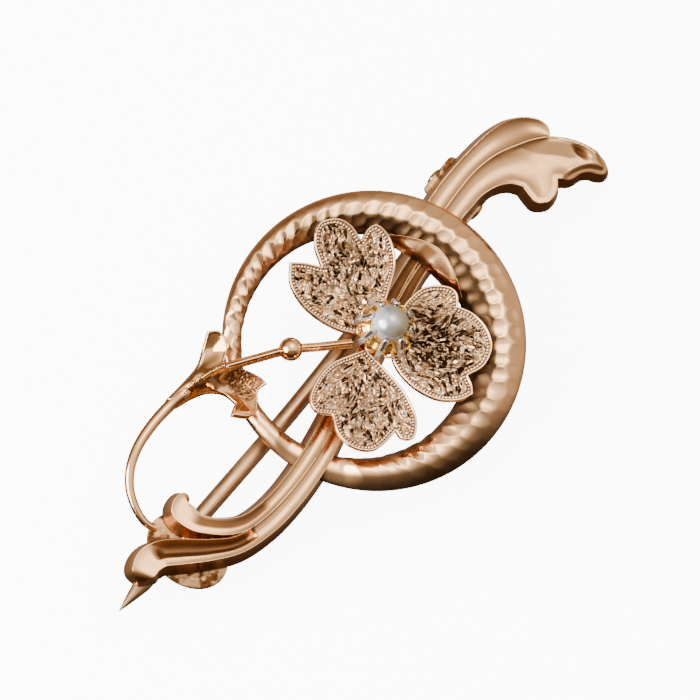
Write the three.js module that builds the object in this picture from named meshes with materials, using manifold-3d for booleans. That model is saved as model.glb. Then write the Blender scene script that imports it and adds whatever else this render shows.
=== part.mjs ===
// Gold brooch: a hammered crescent ring on a scrolled bar, an acanthus leaf, a clover of three engraved
// petals with a claw-set pearl, a lily on a curved tail, and a hinged pin with a C-catch on the back.
// Millimetres. +X runs along the pin from its point to its hinge, +Z out of the front of the brooch.
// The pieces are drawn about a point near the middle of the ring, and the whole group is then moved so
// that the origin is at the middle of the base of its bounding box.
import * as THREE from 'three';
import { mergeVertices } from 'three/addons/utils/BufferGeometryUtils.js';
import Module from 'manifold-3d';

const wasm = await Module();
wasm.setup();

// ---- driving dimensions -------------------------------------------------------------------------
const ORIGIN_SHIFT = new THREE.Vector3(1.63, -0.68, 0);

const JOINT_GAP = 0.04;           // left between pieces that are soldered or rest on each other

const BACK_Z = 2.6;               // back face of the bar and of the leaf
const EDGE_Z = 4.35;              // front edges of the bar's channels
const CHANNEL_Z = 4.1;            // floor of the channels
const WALL_FLARE = 0.35;          // how far the side walls spread between front and back

const RING_OUTER = { x: 0.74, y: 0.68, radius: 10.2 };
const RING_INNER = { x: -0.35, y: 1.4, radius: 7.6 };
const RING_BACK_Z = 2.75;
const RING_DEPTH_RATIO = 0.45;    // half depth of the tube over its width

const PETAL_THICKNESS = 0.35;
const PETAL_Z = 5.3;              // underside of the petals at the flower's centre
const PETAL_CUP = 0.0155;         // rise of a petal per square millimetre of distance from the centre
const HUB_RADIUS = 1.5;

const FLOWER = { x: 1.3, y: 0.6 };
const PEARL_RADIUS = 1.28;
const PEARL_Z = 7.85;
const CUP_BASE_Z = 5.82;
const CUP_RADIUS = 1.8;
const CLAW_COUNT = 8;
const CLAW_RADIUS = 0.14;

const STEM_HALF_WIDTH = 0.31;
const BEAD_RADIUS = 0.8;
const BEAD_CENTRE = new THREE.Vector3(-3.92, 4.6, 5.9);

const PIN_RADIUS = 0.6;
const PIN_AXIS_Z = 1.1;
const PIN_TAPER_START = 0.93;     // fraction of the pin's length from the hinge where the point begins

const HINGE = { x: 12.95, y: 2.8 };
const KNUCKLE_RADIUS = 1.1;
const KNUCKLE_LENGTH = 1.2;
const KNUCKLE_GAP = 0.05;
const RIVET_RADIUS = 0.4;
const RIVET_CLEARANCE = 0.05;
const RIVET_HEAD_RADIUS = 0.62;
const RIVET_HEAD_HEIGHT = 0.18;
const PLATE_THICKNESS = 0.32;

const HINGE_PLATE = { halfWidth: 1.6, halfLength: 1.9, corner: 0.4 };

const CATCH_PLATE = { x: -18.2, y: 1.3, halfWidth: 2.3, halfLength: 3 };
const PIN_CATCH_Y = 2.13;         // where the pin crosses the catch
const HOOK_X = -18.9;
const HOOK_WIDTH = 1.7;
const HOOK_INNER_RADIUS = 0.66;
const HOOK_THICKNESS = 0.44;
const HOOK_CORNER = 0.55;         // outer corners of the hook, beside its flat foot
const HOOK_LIP_ANGLE = 0.15;      // radians below the pin's axis where the hook's open lip ends
const HOOK_LIP = [[0.08, -0.4], [0.2, -0.1]];  // inset from the outer face, and height, of the lip's corners
const HOOK_SOLDER_REACH = 0.5;    // how far the hook's soldered end runs past the pin's axis

// ---- materials ----------------------------------------------------------------------------------
const metal = (color, roughness) => new THREE.MeshStandardMaterial({ color, roughness, metalness: 1 });
const polishedGold = () => metal(0xc9a184, 0.18);
const hammeredGold = () => metal(0xcfa88a, 0.24);
const engravedGold = () => metal(0xb88f70, 0.36);
const yellowGold = () => metal(0xc79a4b, 0.25);
const paleGold = () => metal(0xb9b3ae, 0.22);
const pearlNacre = () => new THREE.MeshStandardMaterial({ color: 0xe4e0d6, roughness: 0.25, metalness: 0 });

// ---- small tools --------------------------------------------------------------------------------
const brooch = new THREE.Group();

function addPiece(name, geometry, material) {
  const mesh = new THREE.Mesh(geometry, material);
  mesh.name = name;
  brooch.add(mesh);
}

function closedGeometry(positions, indices) {
  const geometry = new THREE.BufferGeometry();
  geometry.setAttribute('position', new THREE.Float32BufferAttribute(positions, 3));
  geometry.setIndex(indices);
  return signedVolume(geometry) < 0 ? flipped(geometry) : geometry;
}

function signedVolume(geometry) {
  const position = geometry.getAttribute('position');
  const index = geometry.getIndex().array;
  const corner = (k) => new THREE.Vector3().fromBufferAttribute(position, index[k]);
  let volume = 0;
  for (let k = 0; k < index.length; k += 3) {
    volume += corner(k).dot(corner(k + 1).cross(corner(k + 2))) / 6;
  }
  return volume;
}

function flipped(geometry) {
  const index = Array.from(geometry.getIndex().array);
  for (let k = 0; k < index.length; k += 3) {
    [index[k + 1], index[k + 2]] = [index[k + 2], index[k + 1]];
  }
  geometry.setIndex(index);
  return geometry;
}

// A skin over a row of rings of points, each ring an array of Vector3 of the same length. An open row
// is capped at both ends; a closed one joins its last ring to its first.
function loft(rings, closed = false) {
  const size = rings[0].length;
  const positions = rings.flat().flatMap((point) => [point.x, point.y, point.z]);
  const indices = [];
  const spans = closed ? rings.length : rings.length - 1;
  for (let row = 0; row < spans; row += 1) {
    const here = row * size;
    const next = ((row + 1) % rings.length) * size;
    for (let k = 0; k < size; k += 1) {
      const k1 = (k + 1) % size;
      indices.push(here + k, here + k1, next + k1, here + k, next + k1, next + k);
    }
  }
  if (!closed) {
    capRing(positions, indices, 0, size, false);
    capRing(positions, indices, (rings.length - 1) * size, size, true);
  }
  return closedGeometry(positions, indices);
}

function capRing(positions, indices, start, size, last) {
  const centre = [0, 0, 0];
  for (let k = 0; k < size; k += 1) {
    for (let axis = 0; axis < 3; axis += 1) {
      centre[axis] += positions[3 * (start + k) + axis] / size;
    }
  }
  const hub = positions.length / 3;
  positions.push(...centre);
  for (let k = 0; k < size; k += 1) {
    const k1 = (k + 1) % size;
    indices.push(...(last ? [hub, start + k, start + k1] : [hub, start + k1, start + k]));
  }
}

// Rings across a space curve. section(t) gives [sideways, upwards] pairs; side(t, tangent) gives the
// sideways direction.
function ringsAlong(curve, steps, section, side = flatSide) {
  const rings = [];
  for (let k = 0; k <= steps; k += 1) {
    const t = k / steps;
    const centre = curve.getPoint(t);
    const tangent = curve.getTangent(t);
    const across = side(t, tangent).normalize();
    const up = new THREE.Vector3().crossVectors(tangent, across).normalize();
    const at = ([s, u]) => centre.clone().addScaledVector(across, s).addScaledVector(up, u);
    rings.push(section(t).map(at));
  }
  return rings;
}

const flatSide = (t, tangent) => new THREE.Vector3(tangent.y, -tangent.x, 0);

function roundSection(radius, sides) {
  const points = [];
  for (let k = 0; k < sides; k += 1) {
    const angle = (2 * Math.PI * k) / sides;
    points.push([radius * Math.cos(angle), radius * Math.sin(angle)]);
  }
  return points;
}

const smoothCurve = (points) => new THREE.CatmullRomCurve3(points.map((p) => new THREE.Vector3(...p)));

function toSolid(geometry) {
  const positionsOnly = geometry.clone();
  positionsOnly.deleteAttribute('normal');
  positionsOnly.deleteAttribute('uv');
  const merged = mergeVertices(positionsOnly, 1e-5);
  return new wasm.Manifold(new wasm.Mesh({
    numProp: 3,
    vertProperties: new Float32Array(merged.getAttribute('position').array),
    triVerts: new Uint32Array(merged.getIndex().array),
  }));
}

function toGeometry(solid) {
  const mesh = solid.getMesh();
  const geometry = new THREE.BufferGeometry();
  const positions = new Float32Array(mesh.numVert * 3);
  for (let k = 0; k < mesh.numVert; k += 1) {
    for (let axis = 0; axis < 3; axis += 1) {
      positions[3 * k + axis] = mesh.vertProperties[mesh.numProp * k + axis];
    }
  }
  geometry.setAttribute('position', new THREE.BufferAttribute(positions, 3));
  geometry.setIndex(Array.from(mesh.triVerts));
  return geometry;
}

const joined = (geometries) => toGeometry(
  geometries.map(toSolid).reduce((sum, solid) => sum.add(solid)),
);
const cutBy = (geometry, cutters) => toGeometry(
  cutters.map(toSolid).reduce((rest, solid) => rest.subtract(solid), toSolid(geometry)),
);

// ---- bar ----------------------------------------------------------------------------------------
// Each strand of the bar is a list of [x, y, half width of its front face]. The two strands run side by
// side and meet in a midrib; at the left they part into a blunt lobe and a curl.
const LOBE_STRAND = [
  [-22.35, 2.35, 0.45], [-21.8, 2.6, 0.8], [-20.9, 2.8, 0.95], [-19.95, 2.45, 0.92], [-19.1, 1.65, 0.9],
  [-17.7, 0.2, 0.76], [-16.05, -1.1, 0.62], [-13.65, -1.78, 0.6], [-11.57, -1.95, 0.58],
  [-9.5, -1.9, 0.55], [-7.42, -1.68, 0.51], [-5.5, -1.25, 0.47], [4, 0.92, 0.45], [6.5, 1.37, 0.45],
  [8.25, 1.42, 0.45],
];
const CURL_STRAND = [
  [-15.65, 3.35, 0.15], [-16.1, 3.65, 0.5], [-16.7, 3.3, 0.8], [-16.84, 2.25, 0.68], [-16.4, 1.25, 0.6],
  [-15.57, 0.2, 0.6], [-14.7, -0.45, 0.55], [-13.4, -0.82, 0.5], [-11.57, -1.02, 0.49],
  [-9.5, -0.97, 0.51], [-7.42, -0.74, 0.53], [-5.5, -0.4, 0.53], [4, 1.63, 0.48], [6.5, 1.98, 0.48],
  [8.25, 2.03, 0.52],
];
const END_FLARE = [
  [7.2, -0.9, 0.12], [7.75, 0.5, 0.28], [8, 1.7, 0.55], [7.9, 2.9, 0.3], [7.45, 4.1, 0.12],
];

// A strand's cross-section: a flat back, flared walls and a channelled front, as [sideways, z] pairs.
const channelSection = (half) => [
  [-half - WALL_FLARE, BACK_Z], [half + WALL_FLARE, BACK_Z], [half, EDGE_Z], [half / 2, CHANNEL_Z + 0.1],
  [0, CHANNEL_Z], [-half / 2, CHANNEL_Z + 0.1], [-half, EDGE_Z],
];

// The room that a strand needs where another piece is notched to fit over it.
const clearanceSection = (half) => {
  const wide = half + 2 * JOINT_GAP;
  return [
    [-wide - WALL_FLARE, BACK_Z - JOINT_GAP], [wide + WALL_FLARE, BACK_Z - JOINT_GAP],
    [wide, EDGE_Z + JOINT_GAP], [-wide, EDGE_Z + JOINT_GAP],
  ];
};

function strandSolid(strand, steps, section) {
  const curve = smoothCurve(strand);
  const rings = [];
  for (let k = 0; k <= steps; k += 1) {
    const at = curve.getPoint(k / steps);
    const slope = curve.getTangent(k / steps);
    const across = new THREE.Vector3(slope.y, -slope.x, 0).normalize();
    const place = ([s, z]) => new THREE.Vector3(at.x + across.x * s, at.y + across.y * s, z);
    rings.push(section(at.z).map(place));
  }
  return loft(rings);
}

const barSolid = (section) => joined([
  strandSolid(LOBE_STRAND, 44, section),
  strandSolid(CURL_STRAND, 44, section),
  strandSolid(END_FLARE, 10, section),
]);

// ---- leaf ---------------------------------------------------------------------------------------
const LEAF_LOBES = [
  [[10.3, 3.3, 0.55], [13, 3.42, 0.58], [15.3, 3.27, 0.65], [17, 2.8, 0.72], [18.4, 2, 0.78],
    [19.2, 1.25, 0.5], [19.55, 0.8, 0.2]],
  [[10.3, 2, 0.55], [13, 2, 0.7], [15, 1.6, 0.95], [16.8, 0.6, 1.35], [18.3, -0.6, 1.35],
    [19.5, -2, 0.95], [20, -3.2, 0.5], [20.1, -3.75, 0.15]],
  [[15.9, 0.9, 0.5], [15.6, -0.5, 0.6], [15.55, -1.5, 0.62], [15.8, -2.05, 0.25]],
];

const leafSolid = (section) => joined(LEAF_LOBES.map((lobe) => strandSolid(lobe, 18, section)));

// ---- crescent ring ------------------------------------------------------------------------------
// The tube fills the space between two circles that aren't concentric, so it is thick on one side and
// thin on the other; its section is an ellipse that stands on one plane all round.
function crescentRing() {
  const rings = [];
  const stations = 72;
  const sides = 14;
  for (let k = 0; k < stations; k += 1) {
    const angle = (2 * Math.PI * k) / stations;
    const ray = new THREE.Vector3(Math.cos(angle), Math.sin(angle), 0);
    const outer = new THREE.Vector3(RING_OUTER.x, RING_OUTER.y, 0).addScaledVector(ray, RING_OUTER.radius);
    const inner = new THREE.Vector3(RING_INNER.x, RING_INNER.y, 0).addScaledVector(ray, RING_INNER.radius);
    const middle = outer.clone().add(inner).multiplyScalar(0.5);
    const outward = outer.clone().sub(inner);
    const width = outward.length();
    outward.normalize();
    const halfDepth = width * RING_DEPTH_RATIO;
    rings.push(roundSection(1, sides).map(([s, u]) => middle.clone()
      .addScaledVector(outward, (s * width) / 2)
      .setZ(RING_BACK_Z + halfDepth * (1 + u))));
  }
  return loft(rings, true);
}

// ---- petals -------------------------------------------------------------------------------------
// Each outline starts and ends beside the flower's centre. A null splits it into smooth stretches that
// meet at a corner: the notches between the lobes of a petal.
const PETALS = {
  petal_top: [
    [[1.9, 1.4], [0.15, 1.7], [-0.75, 3], [-1.15, 5.6], [-0.6, 7.4], [0.5, 8.35]],
    [[0.5, 8.35], [1.2, 7.5], [1.75, 6.55]],
    [[1.75, 6.55], [2.6, 7.9], [3.8, 8.5], [4.9, 7.8], [5.2, 6.8], [4.95, 5.65]],
    [[4.95, 5.65], [5.8, 5.8], [6.4, 5.5], [6.35, 4.3], [5.3, 2.9], [3.7, 2.1], [1.9, 1.4]],
  ],
  petal_left: [
    [[-0.5, 0.75], [-1.5, 1.3], [-3, 1.95], [-4.8, 1.9], [-5.95, 1.4], [-6.25, 0.6], [-5.7, -0.3]],
    [[-5.7, -0.3], [-6.5, -1.4], [-6.6, -2.8], [-5.9, -3.9], [-4.9, -4.2], [-3.75, -4.25]],
    [[-3.75, -4.25], [-3.9, -4.9], [-3.4, -5.45], [-2.1, -4.8], [-1.1, -3], [-0.75, -1.2], [-0.5, 0.75]],
  ],
  petal_right: [
    [[1, -0.3], [0, -1.2], [-0.5, -3], [-0.2, -5], [0.7, -6.2], [1.6, -6.65]],
    [[1.6, -6.65], [2.1, -6.2], [2.45, -5.6]],
    [[2.45, -5.6], [3.6, -6], [5, -5.6], [5.8, -4.5], [6, -3.2], [5.75, -2.15]],
    [[5.75, -2.15], [6.35, -1.6], [6.4, -0.9], [5.4, 0.35], [4, 0.7], [2.3, 0.45], [1, -0.3]],
  ],
};
const PETAL_STEPS = 7;

function outlineOf(stretches) {
  const outline = [];
  stretches.forEach((stretch) => {
    const curve = new THREE.SplineCurve(stretch.map((p) => new THREE.Vector2(...p)));
    outline.push(...curve.getPoints(PETAL_STEPS * (stretch.length > 3 ? 2 : 1)).slice(0, -1));
  });
  return outline;
}

function petal(stretches) {
  const shape = new THREE.Shape(outlineOf(stretches));
  const geometry = new THREE.ExtrudeGeometry(shape, { depth: PETAL_THICKNESS, bevelEnabled: false });
  const position = geometry.getAttribute('position');
  for (let k = 0; k < position.count; k += 1) {
    const distance = Math.hypot(position.getX(k) - FLOWER.x, position.getY(k) - FLOWER.y);
    position.setZ(k, position.getZ(k) + PETAL_Z + PETAL_CUP * distance * distance);
  }
  return geometry;
}

// ---- pearl setting ------------------------------------------------------------------------------
function latheAt(profile, x, y, segments = 24) {
  const geometry = new THREE.LatheGeometry(profile.map((p) => new THREE.Vector2(...p)), segments);
  geometry.rotateX(Math.PI / 2);
  geometry.translate(x, y, 0);
  return geometry;
}

function pearlCup() {
  const seat = (radius) => PEARL_Z - Math.sqrt((PEARL_RADIUS + JOINT_GAP) ** 2 - radius ** 2);
  return latheAt([
    [0, CUP_BASE_Z], [CUP_RADIUS, CUP_BASE_Z], [CUP_RADIUS - 0.08, CUP_BASE_Z + 0.16],
    [1.15, CUP_BASE_Z + 0.4], [0.85, CUP_BASE_Z + 0.75], [0.8, seat(0.8)], [0.4, seat(0.4)], [0, seat(0)],
  ], FLOWER.x, FLOWER.y);
}

// A claw leans in from the rim of the cup and follows the pearl up past its middle.
function claw(number) {
  const angle = (2 * Math.PI * (number - 0.5)) / CLAW_COUNT;
  const radial = new THREE.Vector3(Math.cos(angle), Math.sin(angle), 0);
  const onPearl = (rise) => Math.sqrt((PEARL_RADIUS + JOINT_GAP + CLAW_RADIUS) ** 2 - rise ** 2);
  const route = [[2, CUP_BASE_Z + 0.2], [1.85, 6.8], [1.6, 7.4], [onPearl(0.1) + 0.02, PEARL_Z + 0.1],
    [onPearl(0.6), PEARL_Z + 0.6]];
  const curve = smoothCurve(route.map(([r, z]) => [FLOWER.x + radial.x * r, FLOWER.y + radial.y * r, z]));
  const across = new THREE.Vector3(-radial.y, radial.x, 0);
  return loft(ringsAlong(curve, 8, () => roundSection(CLAW_RADIUS, 8), () => across.clone()));
}

// ---- stem, bead, lily and tail ------------------------------------------------------------------
const STEM_ROUTE = [
  [-7.55, 7.1, 5.65], [-5.7, 5.85, 5.8], [-3.92, 4.6, 5.9], [-2.5, 3.2, 6.05], [-0.95, 1.72, 6.2],
];

const knifeEdge = (half) => [
  [-half, -half * 0.7], [half, -half * 0.7], [half, -half * 0.2], [0, half], [-half, -half * 0.2],
];

function stemWire(grow) {
  const section = knifeEdge(STEM_HALF_WIDTH + grow);
  return loft(ringsAlong(smoothCurve(STEM_ROUTE), 16, () => section));
}

function stemBead() {
  const ball = new THREE.SphereGeometry(BEAD_RADIUS, 20, 14);
  ball.translate(BEAD_CENTRE.x, BEAD_CENTRE.y, BEAD_CENTRE.z);
  return cutBy(ball, [stemWire(JOINT_GAP)]);
}

const LILY_Z = 4.3;
const LILY_DEPTH = 1.5;
const LILY_OUTLINE = [
  [[-11.8, 8], [-10.5, 7.5], [-9.5, 6.9], [-8.95, 6], [-9, 5.1]],
  [[-9, 5.1], [-9.6, 4.95], [-10.05, 4.8]],
  [[-10.05, 4.8], [-9.35, 3.9], [-8.6, 3.7], [-7.9, 4.1]],
  [[-7.9, 4.1], [-7.3, 4.5], [-6.7, 4.35]],
  [[-6.7, 4.35], [-6.6, 5], [-6.95, 6.3], [-7.75, 7.3]],
  [[-7.75, 7.3], [-6.5, 8], [-6.1, 9], [-6.6, 9.6]],
  [[-6.6, 9.6], [-7.7, 9.05], [-8.6, 8.7], [-9.8, 8.6], [-11.8, 8.7]],
];

function lily() {
  const shape = new THREE.Shape([...outlineOf(LILY_OUTLINE), new THREE.Vector2(-11.8, 8.7)]);
  const geometry = new THREE.ExtrudeGeometry(shape, { depth: LILY_DEPTH, bevelEnabled: false });
  geometry.translate(0, 0, LILY_Z);
  return geometry;
}

const TAIL_ROUTE = [
  [-18.75, 3.8, 3.6], [-18.95, 4.7, 3.9], [-18.65, 5.8, 4.15], [-17.95, 6.9, 4.4],
  [-16.85, 7.75, 4.6], [-15.5, 8.25, 4.75], [-13.8, 8.45, 4.8], [-11.9, 8.37, 4.8],
];
const TAIL_RADIUS = 0.33;

const tail = () => loft(ringsAlong(smoothCurve(TAIL_ROUTE), 20, () => roundSection(TAIL_RADIUS, 8)));

// ---- pin and hinge ------------------------------------------------------------------------------
const PIN_ROUTE = [[12.2, 2.8], [6, 2.42], [0, 2.05], [-6, 1.93], [-15, 2.08], [-24.1, 2.22]];

function pinKnuckle() {
  const radius = KNUCKLE_RADIUS - JOINT_GAP;
  const bore = RIVET_RADIUS + RIVET_CLEARANCE;
  const half = KNUCKLE_LENGTH / 2;
  const profile = [[bore, -half], [radius, -half], [radius, half], [bore, half], [bore, -half]];
  const geometry = new THREE.LatheGeometry(profile.map((p) => new THREE.Vector2(...p)), 24);
  geometry.translate(HINGE.x, HINGE.y, PIN_AXIS_Z);
  return geometry;
}

function pinStem() {
  const curve = smoothCurve(PIN_ROUTE.map(([x, y]) => [x, y, PIN_AXIS_Z]));
  const radiusAt = (t) => (t < PIN_TAPER_START ? PIN_RADIUS
    : PIN_RADIUS * (1 - 0.9 * ((t - PIN_TAPER_START) / (1 - PIN_TAPER_START))));
  const rod = loft(ringsAlong(curve, 30, (t) => roundSection(radiusAt(t), 12)));
  const clearance = new THREE.CylinderGeometry(KNUCKLE_RADIUS, KNUCKLE_RADIUS, 4 * KNUCKLE_LENGTH, 24);
  clearance.translate(HINGE.x, HINGE.y, PIN_AXIS_Z);
  return cutBy(rod, [clearance]);
}

// An outer knuckle: round below, square above where it is soldered to the hinge plate.
function outerKnuckle(side) {
  const shape = new THREE.Shape();
  const top = BACK_Z - PLATE_THICKNESS - 2 * JOINT_GAP - PIN_AXIS_Z;
  shape.moveTo(-KNUCKLE_RADIUS, top);
  shape.lineTo(-KNUCKLE_RADIUS, 0);
  shape.absarc(0, 0, KNUCKLE_RADIUS, Math.PI, 2 * Math.PI, false);
  shape.lineTo(KNUCKLE_RADIUS, top);
  const bore = new THREE.Path();
  bore.absarc(0, 0, RIVET_RADIUS + JOINT_GAP, 0, 2 * Math.PI, true);
  shape.holes.push(bore);
  const options = { depth: KNUCKLE_LENGTH, bevelEnabled: false, curveSegments: 10 };
  const geometry = new THREE.ExtrudeGeometry(shape, options);
  geometry.rotateX(Math.PI / 2);
  const middle = HINGE.y + side * (KNUCKLE_LENGTH + KNUCKLE_GAP);
  geometry.translate(HINGE.x, middle + KNUCKLE_LENGTH / 2, PIN_AXIS_Z);
  return geometry;
}

function hingeRivet() {
  const end = 1.5 * KNUCKLE_LENGTH + KNUCKLE_GAP + JOINT_GAP;
  const profile = [[0, -end - RIVET_HEAD_HEIGHT], [RIVET_HEAD_RADIUS * 0.7, -end - RIVET_HEAD_HEIGHT * 0.7],
    [RIVET_HEAD_RADIUS, -end], [RIVET_RADIUS, -end], [RIVET_RADIUS, end], [RIVET_HEAD_RADIUS, end],
    [RIVET_HEAD_RADIUS * 0.7, end + RIVET_HEAD_HEIGHT * 0.7], [0, end + RIVET_HEAD_HEIGHT]];
  const geometry = new THREE.LatheGeometry(profile.map((p) => new THREE.Vector2(...p)), 20);
  geometry.translate(HINGE.x, HINGE.y, PIN_AXIS_Z);
  return geometry;
}

const sheet = (shape) => {
  const options = { depth: PLATE_THICKNESS, bevelEnabled: false, curveSegments: 10 };
  const geometry = new THREE.ExtrudeGeometry(shape, options);
  geometry.translate(0, 0, BACK_Z - JOINT_GAP - PLATE_THICKNESS);
  return geometry;
};

function hingePlate() {
  const { halfWidth, halfLength, corner } = HINGE_PLATE;
  const shape = new THREE.Shape();
  const right = HINGE.x + halfWidth - corner;
  const left = HINGE.x - halfWidth + corner;
  const low = HINGE.y - halfLength + corner;
  const high = HINGE.y + halfLength - corner;
  shape.absarc(right, low, corner, -Math.PI / 2, 0);
  shape.absarc(right, high, corner, 0, Math.PI / 2);
  shape.absarc(left, high, corner, Math.PI / 2, Math.PI);
  shape.absarc(left, low, corner, Math.PI, 1.5 * Math.PI);
  return sheet(shape);
}

// ---- catch --------------------------------------------------------------------------------------
function catchPlate() {
  const shape = new THREE.Shape();
  const { x, y, halfWidth, halfLength } = CATCH_PLATE;
  shape.absellipse(x, y, halfWidth, halfLength, 0, 2 * Math.PI);
  return sheet(shape);
}

// The hook is a strip bent into a C round the pin, with a flat foot below. It is soldered to the plate
// at one end, and open on one side so that the pin can be sprung out sideways.
function catchHook() {
  const outer = HOOK_INNER_RADIUS + HOOK_THICKNESS;
  const top = BACK_Z - PLATE_THICKNESS - 2 * JOINT_GAP - PIN_AXIS_Z;
  const cornerAt = outer - HOOK_CORNER;
  const shape = new THREE.Shape();
  shape.moveTo(HOOK_SOLDER_REACH, top);
  shape.lineTo(-outer, top);
  shape.lineTo(-outer, -cornerAt);
  shape.absarc(-cornerAt, -cornerAt, HOOK_CORNER, Math.PI, 1.5 * Math.PI, false);
  shape.lineTo(cornerAt, -outer);
  shape.absarc(cornerAt, -cornerAt, HOOK_CORNER, -0.5 * Math.PI, -0.1 * Math.PI, false);
  HOOK_LIP.forEach(([inset, height]) => shape.lineTo(outer - inset, height));
  const lip = new THREE.Vector2(HOOK_INNER_RADIUS, 0).rotateAround(new THREE.Vector2(), -HOOK_LIP_ANGLE);
  shape.lineTo(lip.x, lip.y);
  shape.absarc(0, 0, HOOK_INNER_RADIUS, -HOOK_LIP_ANGLE, -1.5 * Math.PI, true);
  shape.lineTo(HOOK_SOLDER_REACH, HOOK_INNER_RADIUS);
  const options = { depth: HOOK_WIDTH, bevelEnabled: false, curveSegments: 10 };
  const geometry = new THREE.ExtrudeGeometry(shape, options);
  geometry.rotateX(Math.PI / 2);
  geometry.rotateZ(Math.PI / 2);
  geometry.translate(HOOK_X - HOOK_WIDTH / 2, PIN_CATCH_Y, PIN_AXIS_Z);
  return geometry;
}

// ---- assembly -----------------------------------------------------------------------------------
const notches = [barSolid(clearanceSection), leafSolid(clearanceSection)];
addPiece('crescent_ring', cutBy(crescentRing(), notches), hammeredGold());
addPiece('scroll_bar', barSolid(channelSection), polishedGold());
addPiece('acanthus_leaf', leafSolid(channelSection), polishedGold());

Object.entries(PETALS).forEach(([name, stretches]) => addPiece(name, petal(stretches), engravedGold()));
const hubHeight = PETAL_Z - JOINT_GAP - EDGE_Z - 2 * JOINT_GAP;
const hub = new THREE.CylinderGeometry(HUB_RADIUS, HUB_RADIUS, hubHeight, 24);
hub.rotateX(Math.PI / 2);
hub.translate(FLOWER.x, FLOWER.y, EDGE_Z + 2 * JOINT_GAP + hubHeight / 2);
addPiece('petal_hub', hub, polishedGold());

const pearl = new THREE.SphereGeometry(PEARL_RADIUS, 24, 16);
pearl.translate(FLOWER.x, FLOWER.y, PEARL_Z);
addPiece('pearl', pearl, pearlNacre());
addPiece('pearl_cup', pearlCup(), yellowGold());
for (let number = 1; number <= CLAW_COUNT; number += 1) {
  addPiece(`claw_${number}`, claw(number), paleGold());
}

addPiece('stem_wire', stemWire(0), polishedGold());
addPiece('stem_bead', stemBead(), polishedGold());
addPiece('lily', cutBy(lily(), [stemWire(JOINT_GAP)]), polishedGold());
addPiece('lily_tail', tail(), polishedGold());

addPiece('pin_stem', pinStem(), polishedGold());
addPiece('pin_knuckle', pinKnuckle(), polishedGold());
addPiece('hinge_knuckle_upper', outerKnuckle(1), polishedGold());
addPiece('hinge_knuckle_lower', outerKnuckle(-1), polishedGold());
addPiece('hinge_rivet', hingeRivet(), polishedGold());
addPiece('hinge_plate', hingePlate(), polishedGold());
addPiece('catch_plate', catchPlate(), polishedGold());
addPiece('catch_hook', catchHook(), polishedGold());

brooch.position.copy(ORIGIN_SHIFT);

export default brooch;
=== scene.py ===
import math

import bpy
import numpy as np
from mathutils import Matrix, Vector
from mathutils.geometry import delaunay_2d_cdt


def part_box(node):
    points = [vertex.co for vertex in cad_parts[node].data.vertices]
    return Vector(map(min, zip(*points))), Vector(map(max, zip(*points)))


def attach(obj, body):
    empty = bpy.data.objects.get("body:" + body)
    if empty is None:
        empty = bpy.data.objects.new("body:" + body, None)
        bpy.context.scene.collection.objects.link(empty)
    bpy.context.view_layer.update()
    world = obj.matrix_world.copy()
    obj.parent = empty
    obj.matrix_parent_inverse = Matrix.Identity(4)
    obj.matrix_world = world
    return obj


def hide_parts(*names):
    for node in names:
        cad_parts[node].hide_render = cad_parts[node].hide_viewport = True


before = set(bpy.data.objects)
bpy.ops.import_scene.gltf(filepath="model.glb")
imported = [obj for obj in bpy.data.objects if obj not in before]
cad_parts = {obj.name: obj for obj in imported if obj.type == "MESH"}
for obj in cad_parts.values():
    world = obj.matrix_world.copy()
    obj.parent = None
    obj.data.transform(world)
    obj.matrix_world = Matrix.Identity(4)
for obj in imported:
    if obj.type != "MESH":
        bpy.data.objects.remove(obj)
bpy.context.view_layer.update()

MM = 0.001


def box_mm(node):
    low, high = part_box(node)
    return np.array(low) / MM, np.array(high) / MM


# ---- places and sizes taken from the frame -------------------------------------------------------
RING_LOW, RING_HIGH = box_mm("crescent_ring")
RING_OUTER_CENTRE = np.array([0.74, 0.68])
RING_OUTER_RADIUS = (RING_HIGH[0] - RING_LOW[0]) / 2
ORIGIN = np.append((RING_LOW[:2] + RING_HIGH[:2]) / 2 - RING_OUTER_CENTRE, 0.0)


def drawn(node):
    """A node's box corners and its middle, in the drawing's millimetres."""
    low, high = box_mm(node)
    return low - ORIGIN, high - ORIGIN, (low + high) / 2 - ORIGIN


BAR_LOW, BAR_HIGH, _ = drawn("scroll_bar")
BACK_Z, EDGE_Z = BAR_LOW[2], BAR_HIGH[2]
PEARL_LOW, PEARL_HIGH, PEARL = drawn("pearl")
PEARL_RADIUS = (PEARL_HIGH[2] - PEARL_LOW[2]) / 2
FLOWER = PEARL[:2]
CUP_BASE_Z = drawn("pearl_cup")[0][2]
BEAD = drawn("stem_bead")[2]
HINGE_X, _, PIN_Z = drawn("pin_knuckle")[2]


# ---- curves --------------------------------------------------------------------------------------
SPLINE_STEPS = 40         # points worked out between two given points


def spline(points, count):
    """count points, evenly spaced, on the centripetal Catmull-Rom curve through points."""
    points = np.asarray(points, float)
    ends = np.vstack([2 * points[0] - points[1], points, 2 * points[-1] - points[-2]])
    u = np.linspace(0, 1, SPLINE_STEPS, endpoint=False)[:, None]
    dense = []
    for k in range(1, len(ends) - 2):
        p0, p1, p2, p3 = ends[k - 1:k + 3]
        spans = ((p0, p1), (p1, p2), (p2, p3))
        d0, d1, d2 = (max(np.linalg.norm(b - a), 1e-9) ** 0.5 for a, b in spans)
        m1 = d1 * ((p1 - p0) / d0 - (p2 - p0) / (d0 + d1) + (p2 - p1) / d1)
        m2 = d1 * ((p2 - p1) / d1 - (p3 - p1) / (d1 + d2) + (p3 - p2) / d2)
        dense.append(p1 * (2 * u**3 - 3 * u**2 + 1) + m1 * (u**3 - 2 * u**2 + u)
                     + p2 * (-2 * u**3 + 3 * u**2) + m2 * (u**3 - u**2))
    dense = np.vstack(dense + [points[-1:]])
    return resampled(dense, count)


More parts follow.
